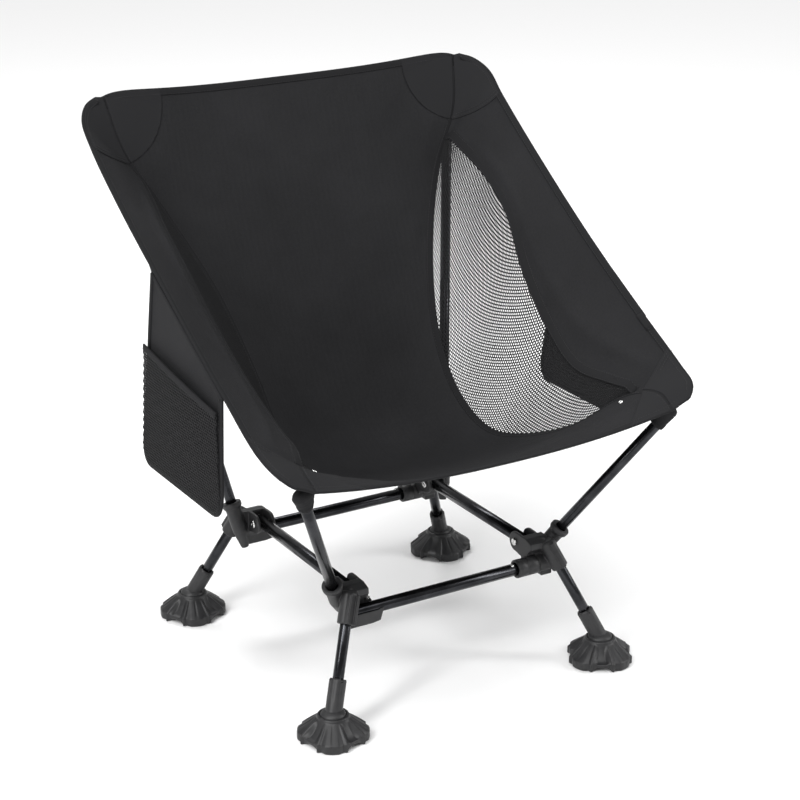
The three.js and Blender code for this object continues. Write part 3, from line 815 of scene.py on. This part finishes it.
def panel_grid(depths, shares):
    """Points of the middle panel, shares running from -1 at the left seam to 1 at the right."""
    centre, seam = at(MIDDLE, depths), at(PANEL_SEAM, edge_depth(depths))
    u = np.array(shares)[None, :]
    x = u * seam[:, :1]
    y = centre[:, 1:2] + (seam[:, 1:2] - centre[:, 1:2]) * u ** 2
    z = centre[:, 2:] + (seam[:, 2:] - centre[:, 2:]) * np.abs(u) ** 2.4
    crown = CROWN * ease((centre[:, 1:2] - CROWN_FROM) / (MIDDLE[-1, 1] - CROWN_FROM))
    z = z + crown * np.abs(u) ** 3 * (1 - u ** 12)
    return np.stack([x, y, z], axis=2)


def strip_grid(inner, outer, shares, bow):
    """Points between two lines, bowed down by a share of the width between them."""
    width = np.linalg.norm(outer - inner, axis=1)[:, None]
    u = np.array(shares)[None, :]
    grid = inner[:, None, :] + (outer - inner)[:, None, :] * u[:, :, None]
    grid[:, :, 2] -= bow * width * 4 * u * (1 - u)
    return grid


def wing_grid(depths, shares):
    return strip_grid(wing_inner(depths), at(OUTER_EDGE, edge_depth(depths)), shares, WING_BOW)


def net_grid(depths, shares):
    return strip_grid(at(PANEL_SEAM, depths), wing_inner(depths), shares, NET_BOW)


def grid_normals(grid):
    du = np.gradient(grid, axis=1)
    dv = np.gradient(grid, axis=0)
    cross = np.cross(du, dv)
    return cross / np.maximum(np.linalg.norm(cross, axis=2), 1e-9)[:, :, None]


def grid_uvs(grid):
    """Cut-piece coordinates in millimetres: across along each row, and along each column."""
    across = np.concatenate([np.zeros((len(grid), 1)),
                             np.cumsum(np.linalg.norm(np.diff(grid, axis=1), axis=2), axis=1)], 1)
    across -= across.mean(axis=1, keepdims=True)
    middle = grid[:, grid.shape[1] // 2]
    return np.stack([across, np.repeat(arc_length(middle)[:, None], grid.shape[1], 1)], axis=2)


SOFT = []


def soft_piece(thing, *nodes, slot=None):
    """Cloth rides with the side rails."""
    SOFT.append(thing)
    return finish_piece(thing, "side_rails", *nodes, slot=slot)


def sheet_piece(name, grid, thickness, material, sx=1):
    """A closed sheet from a grid, with weave coordinates on both faces."""
    rows, columns = grid.shape[:2]
    points, faces = shell(grid.reshape(-1, 3), grid_faces(rows, columns), thickness)
    uvs = np.tile(grid_uvs(grid).reshape(-1, 2), (2, 1))
    return make(name, points, faces, material, sx, 1, uvs=uvs)


def folds(grid, normals, lines):
    """Raises tension folds, each given by its start, its end, its height and its half width."""
    lifted = grid.copy()
    for start, end, height, width in lines:
        start, end = np.array(start, float), np.array(end, float)
        reach_line = end - start
        t = ((grid - start) @ reach_line) / (reach_line @ reach_line)
        away = np.linalg.norm(grid - (start + np.clip(t, 0, 1)[:, :, None] * reach_line), axis=2)
        fade = ease(t * 4) * ease((1 - t) * 2.5) * np.exp(-(away / width) ** 2)
        lifted += normals * (height * fade)[:, :, None]
    return lifted


CLOTH_T = 1.1
NET_T = 0.9
SHARES = np.sin(np.linspace(-1, 1, 91) * math.pi / 2 * 0.72) / math.sin(math.pi / 2 * 0.72)
DEPTHS = even_depths(150)

panel = panel_grid(DEPTHS, SHARES)
ripple = np.sin(panel[:, :, 0] / 23 + 1.3 * np.sin(panel[:, :, 1] / 61)) * 0.28
ripple += np.sin(panel[:, :, 0] / 61 + panel[:, :, 2] / 83) * 0.5
inside = (ease((1 - np.abs(SHARES)) * 6)[None, :]
          * np.sin(np.linspace(0, math.pi, len(DEPTHS)))[:, None])
panel_normals = grid_normals(panel)
panel = panel + panel_normals * (ripple * inside)[:, :, None]
PANEL_FOLDS = []
for sign in (-1, 1):
    PANEL_FOLDS += [
        ((sign * 212, -219, 337), (sign * 92, -168, 292), 2.0, 6.0),
        ((sign * 205, -196, 328), (sign * 104, -128, 275), 1.7, 6.5),
        ((sign * 178, -160, 305), (sign * 96, -84, 259), 1.3, 7.0),
        ((sign * 214, 240, 608), (sign * 128, 186, 470), 1.2, 9.0),
        ((sign * 196, 222, 565), (sign * 108, 150, 388), 1.0, 9.0),
    ]
panel = folds(panel, panel_normals, PANEL_FOLDS)
seat = soft_piece(sheet_piece("seat_cloth", panel, CLOTH_T, PANEL), "seat_panel")


# ---------------- nets
NET_PITCH = 3.95
NET_ROW = NET_PITCH * math.sqrt(3) / 2
HOLE_R = 1.52


def lattice(length, width_at, keep=None):
    """A flat net of hexagonal holes, as [along, across] points and faces."""
    index, points, faces = {}, [], []

    def vertex(s, t):
        key = (round(s * 200), round(t * 200))
        if key not in index:
            index[key] = len(points)
            points.append((s, t))
        return index[key]

    outer_r = NET_PITCH / math.sqrt(3)
    for i in range(int(length / NET_ROW) + 1):
        s0 = (i + 0.5) * NET_ROW
        first, last = width_at(s0)
        j0 = math.floor(first / NET_PITCH) - 1
        for j in range(j0, int(last / NET_PITCH) + 2):
            t0 = (j + 0.5 * (i % 2)) * NET_PITCH
            inside_width = first - 0.3 * NET_PITCH < t0 < last + 0.3 * NET_PITCH
            if not inside_width or (keep and not keep(s0, t0)):
                continue
            ring, hole = [], []
            for k in range(6):
                c, d = math.cos(k * math.pi / 3), math.sin(k * math.pi / 3)
                ring.append(vertex(s0 + outer_r * c, t0 + outer_r * d))
                hole.append(vertex(s0 + HOLE_R * c, t0 + HOLE_R * d))
            faces += [(ring[k], ring[(k + 1) % 6], hole[(k + 1) % 6], hole[k]) for k in range(6)]
    return np.array(points), faces


NET_COLUMNS = 25
NET_WAVE = 0.9
net_depths = np.linspace(NET_FROM - 6, NET_TO + 3, 160)
net_surface = net_grid(net_depths, np.linspace(0, 1, NET_COLUMNS))
net_surface = net_surface + grid_normals(net_surface) * (
    NET_WAVE * np.sin(net_surface[:, :, 1] / 31)[:, :, None]
    * np.sin(np.linspace(0, math.pi, NET_COLUMNS))[None, :, None])
net_length = arc_length(net_surface[:, NET_COLUMNS // 2])
net_width = np.linalg.norm(net_surface[:, -1] - net_surface[:, 0], axis=1)


def on_net(flat):
    """Lays flat [along, across] points on the net's surface."""
    row = np.interp(flat[:, 0], net_length, np.arange(len(net_depths)))
    width = np.interp(flat[:, 0], net_length, net_width)
    column = np.clip(flat[:, 1] / np.maximum(width, 1), -0.08, 1.08) * (NET_COLUMNS - 1)
    i = np.clip(row.astype(int), 0, len(net_depths) - 2)
    j = np.clip(np.floor(column).astype(int), 0, NET_COLUMNS - 2)
    v, u = (row - i)[:, None], (column - j)[:, None]
    return ((net_surface[i, j] * (1 - u) + net_surface[i, j + 1] * u) * (1 - v)
            + (net_surface[i + 1, j] * (1 - u) + net_surface[i + 1, j + 1] * u) * v)


flat_net, net_faces = lattice(
    net_length[-1], lambda s: (0, float(np.interp(s, net_length, net_width))))
net_shape = shell(on_net(flat_net), net_faces, NET_T)
nets = [soft_piece(make(f"mesh_net_{side}", *net_shape, NET, sx), f"mesh_panel_{side}")
        for side, sx in SIDES]


# ---------------- wings
WING_SHARES = np.linspace(0, 1, 25)
wing_depths = np.unique(np.concatenate([DEPTHS, np.linspace(EDGE_TO - 12, DEPTHS[-1], 8)]))
wing = wing_grid(wing_depths, WING_SHARES)
wing_normals = grid_normals(wing)
ridge = np.interp(wing_depths, [-190, -60, 60, 205], [0.5, 0.3, 0.2, 0.14])
crease = np.exp(-((WING_SHARES[None, :] - ridge[:, None]) / 0.11) ** 2) * 3.0
along_wing = ease((wing_depths + 185) / 50) * ease((205 - wing_depths) / 60)
wing = wing + wing_normals * (along_wing[:, None] * crease)[:, :, None]
wings = [soft_piece(sheet_piece(f"wing_cloth_{side}", wing, CLOTH_T, CLOTH, sx),
                    f"wing_panel_{side}") for side, sx in SIDES]


# ---------------- hems, tapes and stitches
def frames(path, inside):
    """Unit vectors along, across (towards inside) and up for each point of a path."""
    tangent = np.gradient(path, axis=0)
    tangent /= np.maximum(np.linalg.norm(tangent, axis=1), 1e-9)[:, None]
    across = inside - path
    across -= (across * tangent).sum(axis=1)[:, None] * tangent
    across /= np.maximum(np.linalg.norm(across, axis=1), 1e-9)[:, None]
    return tangent, across, np.cross(tangent, across)


def resample(path, step, *others):
    """Even points along a path, with other arrays carried along."""
    lengths = arc_length(path)
    count = max(int(lengths[-1] / step), 2)
    even = np.linspace(0, lengths[-1], count)
    return [np.column_stack([np.interp(even, lengths, a[:, k]) for k in range(3)])
            for a in (path, *others)]


def ribbon(name, path, inside, width, thickness, offset, lift, material, sx=1):
    path, inside = resample(path, 4, inside)
    _, across, up = frames(path, inside)
    centre = path + across * offset + up * lift
    return make(name, *sweep(rounded(width, thickness, 5), centre, across, up), material, sx)


STITCH = 2.3
STITCH_STEP = 3.5
MIRROR = np.array([-1, 1, 1])
THREADS = []


def stitches(path, inside, offset, lift):
    """A row of short threads lying along a path, each with its ends pulled into the cloth."""
    path, inside = resample(path, STITCH_STEP, inside)
    tangent, across, up = frames(path, inside)
    centre = path + across * offset
    # Along the thread, as a share of its length, with its radius and height there.
    stations = [(-0.5, 0.12, -0.35), (-0.32, 0.26, 0.08), (0, 0.3, 0.2), (0.32, 0.26, 0.08),
                (0.5, 0.12, -0.35)]
    ring = [(math.cos(a), math.sin(a)) for a in np.linspace(0, 2 * math.pi, 6, endpoint=False)]
    points = np.stack([tangent * (s * STITCH) + across * (a * radius)
                       + up * (b * radius + height + lift) + centre
                       for s, radius, height in stations for a, b in ring], axis=1)
    faces = grid_faces(5, 6, wrap=True) + [(5, 4, 3, 2, 1, 0), (24, 25, 26, 27, 28, 29)]
    return merged(*[(thread, faces) for thread in points])


def sew(path, inside, offset, lift):
    """Adds a row of stitches on the right, and the same row on the left."""
    points, faces = stitches(path, inside, offset, lift)
    THREADS.extend([(points, faces), (points * MIRROR, [tuple(reversed(f)) for f in faces])])


FRONT_SHARES = np.linspace(0, 1, 60)
front_row = panel_grid(DEPTHS[:1], FRONT_SHARES)[0]
front_in = panel_grid(DEPTHS[:1] + 14, FRONT_SHARES)[0]
rear_row = panel_grid(DEPTHS[-1:], FRONT_SHARES)[0]
rear_in = panel_grid(DEPTHS[-1:] - 8, FRONT_SHARES)[0]
outer, outer_in = wing[:, -1], wing[:, -6]
half = np.vstack([front_row, wing[0, 3:-1], outer[1:-1], wing[-1, -2:2:-1], rear_row[::-1]])
half_in = np.vstack([front_in, wing[4, 3:-1], outer_in[1:-1], wing[-5, -2:2:-1], rear_in[::-1]])
loop = np.vstack([half, (half * MIRROR)[::-1][1:]])
loop_in = np.vstack([half_in, (half_in * MIRROR)[::-1][1:]])

hem = soft_piece(ribbon("edge_hem", loop, loop_in, 9.5, 3.0, 3.9, 0, BINDING))
THREADS += [stitches(loop, loop_in, 7.0, sign * 1.55) for sign in (1, -1)]

seam_depths = np.linspace(EDGE_FROM + 6, EDGE_TO - 5, 220)
seam = at(PANEL_SEAM, seam_depths)
seam_in = panel_grid(seam_depths, [0.9])[:, 0]
net_seam_depths = np.linspace(NET_FROM - 4, NET_TO, 160)
net_seam = wing_inner(net_seam_depths)
net_seam_in = wing_grid(net_seam_depths, [0.12])[:, 0]
for side, sx in SIDES:
    for name, path, inside, width in (("panel", seam, seam_in, 8.5),
                                      ("wing", net_seam, net_seam_in, 13)):
        tape = ribbon(f"{name}_seam_tape_{side}", path, inside, width, 2.4, 1.0, 0, BINDING, sx)
        soft_piece(tape)
for path, inside, offsets in ((seam, seam_in, (-2.2, 4.2)), (net_seam, net_seam_in, (-3.8, 5.8))):
    for offset in offsets:
        for sign in (1, -1):
            sew(path, inside, offset, sign * 1.25)


# ---------------- corner reinforcement
def clipped(grid, field):
    """The part of a grid where the field is positive, with its cut edge as chains of points."""
    rows, columns = field.shape
    flat, value = grid.reshape(-1, 3), field.ravel()
    index, points, faces, cuts = {}, [], [], []

    def vertex(key, point):
        if key not in index:
            index[key] = len(points)
            points.append(point)
        return index[key]

    for face in grid_faces(rows, columns):
        if not any(value[i] > 0 for i in face):
            continue
        ring, ends = [], []
        for a, b in zip(face, face[1:] + face[:1]):
            if value[a] > 0:
                ring.append(vertex(a, flat[a]))
            if (value[a] > 0) != (value[b] > 0):
                share = value[a] / (value[a] - value[b])
                key = (min(a, b), max(a, b))
                ring.append(vertex(key, flat[a] + (flat[b] - flat[a]) * share))
                ends.append(ring[-1])
        faces.append(tuple(ring))
        if len(ends) == 2:
            cuts.append(ends)
    return np.array(points), faces, chained(cuts)


def chained(cuts):
    """Joins loose edges into one chain of vertex numbers."""
    beside = {}
    for a, b in cuts:
        beside.setdefault(a, []).append(b)
        beside.setdefault(b, []).append(a)
    start = next((k for k, near in beside.items() if len(near) == 1), next(iter(beside)))
    chain, last = [start], None
    while True:
        following = [k for k in beside[chain[-1]] if k != last]
        if not following or following[0] in chain:
            return chain
        last = chain[-1]
        chain.append(following[0])


PATCH_T = 0.9
PATCH_LIFT = 1.15
PATCH_DEPTH = 150  # no patch reaches nearer to the middle of the seat than this
PATCH_ROWS = (2.6, 6.4)
REAR_PATCH_R = 80
PATCH_TIPS = {"front": FRONT_POLE[1] + [6, -2, 4], "rear": REAR_POLE[1] + [10, 6, 16]}
PATCH_LINES = {"wing": ((264, -177), (228, -192.5)), "panel": ((228, -192.5), (181, -234.5))}


def beyond(grid, start, stop):
    """How far points lie past a line seen from above, on the side of the front corner."""
    dx, dy = start[0] - stop[0], start[1] - stop[1]
    return ((grid[..., 0] - stop[0]) * dy - (grid[..., 1] - stop[1]) * dx) / math.hypot(dx, dy)


patches = []
for end, tip in PATCH_TIPS.items():
    fine = even_depths(420)
    fine = fine[fine < -PATCH_DEPTH] if end == "front" else fine[fine > PATCH_DEPTH]
    areas = {
        "panel": panel_grid(fine, np.linspace(0.55, 0.99, 60)),
        "wing": wing_grid(fine, np.linspace(0.02, 0.96, 40)),
    }
    for part, grid in areas.items():
        if end == "front":
            field = beyond(grid, *PATCH_LINES[part])
        else:
            field = REAR_PATCH_R - np.linalg.norm(grid - tip, axis=2)
        points, faces, chain = clipped(grid, field)
        solid, solid_faces = shell(points, faces, PATCH_T, PATCH_LIFT)
        cut_edge = solid[chain]
        inward = cut_edge + (tip - cut_edge) * 0.2
        _, _, up = frames(cut_edge, inward)
        lift = 0.15 if up[len(up) // 2, 2] > 0 else -0.15
        for offset in PATCH_ROWS:
            sew(cut_edge, inward, offset, lift)
        patches += [soft_piece(make(f"{end}_{part}_patch_{side}", solid, solid_faces, CLOTH, sx))
                    for side, sx in SIDES]


# ---------------- corner pockets
def pocket_shape(stop, depth, wide, deep):
    """A closed sleeve that opens out towards the cloth: sideways by wide, forwards by deep."""
    profile = [(7.3, stop - depth), (7.4, stop - depth - 0.9), (8.6, stop - depth - 0.9),
               (8.9, stop - depth), (8.9, stop - depth + 5.4), (8.4, stop - depth + 6.2)]
    profile += [(8.4 + 0.12 * math.sin(k * 1.9), z) for k, z in
                enumerate(np.linspace(stop - depth + 7, stop + 0.5, 12))]
    profile += [(8.1, stop + 2), (7.3, stop + 4.2), (5.4, stop + 5.8), (3, stop + 6.2),
                (0, stop + 6.3)]
    inner = [(0, stop + 5), (4.5, stop + 4.9), (6.7, stop + 4), (7.3, stop + 2),
             (7.3, stop - depth)]
    points, faces = lathe(profile + inner, 48)
    angle = np.arctan2(points[:, 1], points[:, 0])
    radius = np.hypot(points[:, 0], points[:, 1])
    opened = np.clip((points[:, 2] - stop + depth) / depth, 0, 1)
    points[:, 0] *= 1 + np.where(points[:, 0] < 0, wide, 0.35 * wide) * opened
    points[:, 1] *= 1 + np.where(points[:, 1] < 0, deep, 0) * opened
    skin = radius > 7.6
    pleat = 1 + 0.014 * np.sin(5 * angle + points[:, 2] / 7) * np.sin(points[:, 2] / 5)
    points[skin, :2] *= pleat[skin, None]
    return points, faces


# Each pocket: its end, pole, where the pole stops, depth, and how it widens sideways and forwards.
POCKETS = (("front", FRONT_POLE, FRONT_END, 22, 0.95, 0),
           ("rear", REAR_POLE, REAR_END, 34, 0.3, 0.4))
for side, sx in SIDES:
    for end, pole, *sizes in POCKETS:
        shape = along(pocket_shape(*sizes), *seated(pole))
        soft_piece(make(f"tip_pocket_{end}_{side}", *shape, BINDING, sx),
                   f"corner_pocket_{end}_{side}", slot="seat_cloth")


# ---------------- storage flaps
FLAP_X = 281
FLAP_BOTTOM = 261
FLAP_MIDDLE = (-10, 350)
FLAP_INSET = 0.2
NET_LEAN = 0.055
NET_OFFSET = 1.9
POCKET_RISE = 165


def corner(start, control, stop, steps):
    """A quadratic bend between two points."""
    t = np.linspace(0, 1, steps)[:, None]
    start, control, stop = (np.array(p, float) for p in (start, control, stop))
    return (1 - t) ** 2 * start + 2 * t * (1 - t) * control + t * t * stop


def straight(start, stop, steps):
    t = np.linspace(0, 1, steps)[:, None]
    return np.array(start, float) * (1 - t) + np.array(stop, float) * t


def coons(bottom, top, front, rear):
    """A grid filling four sides; front and rear climb, bottom and top run to the rear."""
    u = arc_length(bottom)[:, None] / arc_length(bottom)[-1]
    v = (arc_length(front) / arc_length(front)[-1])[:, None, None]
    u = u[None, :, :]
    across = front[:, None, :] * (1 - u) + rear[:, None, :] * u
    up = bottom[None, :, :] * (1 - v) + top[None, :, :] * v
    corners = ((bottom[0] * (1 - u) + bottom[-1] * u) * (1 - v)
               + (top[0] * (1 - u) + top[-1] * u) * v)
    return across + up - corners


FLAP_SIDES = {
    "front": [(-114, 290), (-110, FLAP_BOTTOM), (-88, FLAP_BOTTOM), (-121, 406)],
    "rear": [(92, 286), (94, FLAP_BOTTOM), (72, FLAP_BOTTOM), (50, 504)],
}
NET_SIDES = {
    "front": [(-111, 290), (-108, FLAP_BOTTOM + 3), (-88, FLAP_BOTTOM + 3), (-115, 388)],
    "rear": [(89, 286), (91, FLAP_BOTTOM + 3), (71, FLAP_BOTTOM + 3), (66, 413)],
}


def flap_outline(sides):
    """The front, bottom, rear and top sides of a flap, as [depth, height] points."""
    edge = {}
    for end, (high, control, low, crown) in sides.items():
        bend = corner(low, control, high, 12)
        edge[end] = np.vstack([bend, straight(high, crown, 40)[1:]])
    bottom = straight(edge["front"][0], edge["rear"][0], 50)
    top = straight(edge["front"][-1], edge["rear"][-1], 50)
    return edge["front"], bottom, edge["rear"], top


def on_flap(flat, leaning=False):
    """Stands [depth, height] points up beside the seat, bellied a little outwards."""
    y, z = flat[..., 0], flat[..., 1]
    x = np.full_like(y, FLAP_X + CLOTH_T / 2)
    belly = np.sin(math.pi * np.clip((y + 118) / 206, 0, 1)) * np.sin(
        math.pi * np.clip((z - FLAP_BOTTOM) / 175, 0, 1))
    if leaning:
        x = x + NET_OFFSET + NET_LEAN * (z - FLAP_BOTTOM) * (0.55 + 0.45 * belly)
    else:
        x = x - 1.6 * belly + 0.5 * np.sin(y / 19) * belly
    return np.stack([x, y, z], axis=-1)


def point_inside(outline):
    """A test of whether a [depth, height] point is inside an outline."""
    ring = np.vstack([outline, outline[:1]])

    def test(y, z):
        a, b = ring[:-1], ring[1:]
        spans = (a[:, 1] > z) != (b[:, 1] > z)
        rise = np.where(spans, b[:, 1] - a[:, 1], 1)
        where = a[:, 0] + (z - a[:, 1]) * (b[:, 0] - a[:, 0]) / rise
        return (np.count_nonzero(spans & (where > y)) % 2) == 1

    return test


def around(sides):
    """A flap's front, bottom and rear as one line, the same line drawn inwards, and its top."""
    front, bottom, rear, top = flap_outline(sides)
    ring = np.vstack([front[::-1], bottom[1:], rear[1:]])
    return ring, ring + (np.array(FLAP_MIDDLE) - ring) * FLAP_INSET, top


front, bottom, rear, top = flap_outline(FLAP_SIDES)
flap_flat = coons(bottom, top, front, rear)
flap_grid = on_flap(flap_flat)
ring, ring_in, top_line = around(FLAP_SIDES)
net_ring, _, net_top = around(NET_SIDES)
inside_pocket = point_inside(np.vstack([net_ring, net_top[::-1][1:-1]]))
flat_pocket, pocket_faces = lattice(POCKET_RISE, lambda s: (-125, 100),
                                    lambda s, t: inside_pocket(t, s + FLAP_BOTTOM))
pocket_points = on_flap(np.column_stack([flat_pocket[:, 1], flat_pocket[:, 0] + FLAP_BOTTOM]),
                        leaning=True)
pocket_net = shell(pocket_points, [tuple(reversed(face)) for face in pocket_faces], NET_T)
lap = straight(top_line[0], top_line[-1], 40)
DOWN = np.array([0, -10])
flap_edge, flap_edge_in = on_flap(ring), on_flap(ring_in)
mouth, mouth_in = on_flap(net_top, True), on_flap(net_top + DOWN, True)
# Each trim: its name, line, the line it faces, width, thickness, offset and lift.
FLAP_TRIMS = (("flap_binding", flap_edge, flap_edge_in, 7, 3.6, 2.4, 0.4),
              ("pocket_mouth", mouth, mouth_in, 8.5, 2.6, 0, 0),
              ("flap_seam", on_flap(lap), on_flap(lap + DOWN), 7, 2.6, 1.5, 0))
flaps = []
for side, sx in SIDES:
    flap = sheet_piece(f"flap_cloth_{side}", flap_grid, CLOTH_T, CLOTH, sx)
    pouch = make(f"pocket_net_{side}", *pocket_net, NET, sx)
    flaps.append([soft_piece(flap, f"storage_flap_{side}"),
                  soft_piece(pouch, f"storage_net_{side}"),
                  *[soft_piece(ribbon(f"{name}_{side}", *sizes, BINDING, sx))
                    for name, *sizes in FLAP_TRIMS]])
for path, inside, offset, lift in ((flap_edge, flap_edge_in, 4.6, 2.3),
                                   (mouth, mouth_in, 2.4, 1.5)):
    for sign in (1, -1):
        sew(path, inside, offset, sign * lift)


# ---------------- trims
threads = soft_piece(make("seam_stitches", *merged(*THREADS), THREAD))

TAB_FROM, TAB_TO = -141, -119
tab_band = wing_grid(np.linspace(TAB_FROM, TAB_TO, 12), [1.0, 0.9])
tab = ribbon("webbing_tab", tab_band[:, 0], tab_band[:, 1], 10.5, 4.6, 4.4, 0, BINDING)
soft_piece(tab, "edge_tab")

eyelet_profile = [(1.5, -1.1), (2.7, -1.2), (3.1, -0.6), (3.1, 0.6), (2.8, 1.3), (2.3, 1.6),
                  (1.8, 1.3), (1.5, 0.8), (1.5, -1.1)]
eyelet_grid = panel_grid(np.array([-182.0, -180.0]), [0.92, 0.95])
eyelet_shape = along(lathe(eyelet_profile, 36), eyelet_grid[0, 0], grid_normals(eyelet_grid)[0, 0])
eyelets = [soft_piece(make(f"eyelet_{side}", *eyelet_shape, STEEL, sx)) for side, sx in SIDES]


for (side, _), wing_cloth, net, parts in zip(SIDES, wings, nets, flaps):
    flap, pouch, binding, elastic, seam_cover = parts

for thing in SOFT:
    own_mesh(thing)


# ---------------- floor, light and camera
FLOOR_HALF = 9
FLOOR_DROP = 0.0005
WHITE = (1, 1, 1, 1)
WORLD_STRENGTH = 0.4
SUN_DEGREES = 50
floor_material, _ = principled("studio_floor", Roughness=0.9, Base_Color=(0.93, 0.93, 0.93, 1))
floor_mesh = bpy.data.meshes.new("floor")
floor_mesh.from_pydata([(x * FLOOR_HALF, y * FLOOR_HALF, 0)
                        for x, y in ((-1, -1), (1, -1), (1, 1), (-1, 1))], [], [(0, 1, 2, 3)])
floor_mesh.materials.append(floor_material)
floor = placed("floor", floor_mesh)
floor.location.z = -FLOOR_DROP

bpy.context.scene.view_settings.view_transform = "Standard"
world = bpy.data.worlds.new("studio")
bpy.context.scene.world = world
world.use_nodes = True
background = world.node_tree.nodes["Background"].inputs
background["Color"].default_value = WHITE
background["Strength"].default_value = WORLD_STRENGTH


def facing(thing, back):
    """Turns a light or the camera so that its back points along a direction."""
    thing.rotation_euler = Vector(back).to_track_quat("Z", "Y").to_euler()


def softbox(name, place, target, size, power):
    light = bpy.data.lights.new(name, "AREA")
    light.shape = "RECTANGLE"
    light.size, light.size_y = size
    light.energy = power
    lamp = placed(name, light)
    lamp.location = place
    facing(lamp, Vector(place) - Vector(target))


# Each softbox: its place, what it faces, its width and height in metres, and its watts.
softbox("key_left", (-2.4, -0.9, 1.7), (0, 0, 0.35), (0.5, 1.9), 48)
softbox("fill_right", (2.3, -1.5, 1.5), (0, 0, 0.3), (0.5, 1.9), 34)
softbox("top_back", (0.3, 1.9, 2.6), (0, 0, 0.4), (1.6, 0.6), 36)
sky = bpy.data.lights.new("overhead", "SUN")
sky.energy = 1.9
sky.angle = math.radians(SUN_DEGREES)
facing(placed("overhead", sky), (-0.35, -0.3, 0.88))

camera_data = bpy.data.cameras.new("camera")
camera_data.lens = 94
camera_data.sensor_width = 36
camera = placed("camera", camera_data)
camera.location = (-1.1920, -2.0240, 1.1972)
facing(camera, Vector((-0.4804, -0.8027, 0.3535)).normalized())
bpy.context.scene.camera = camera
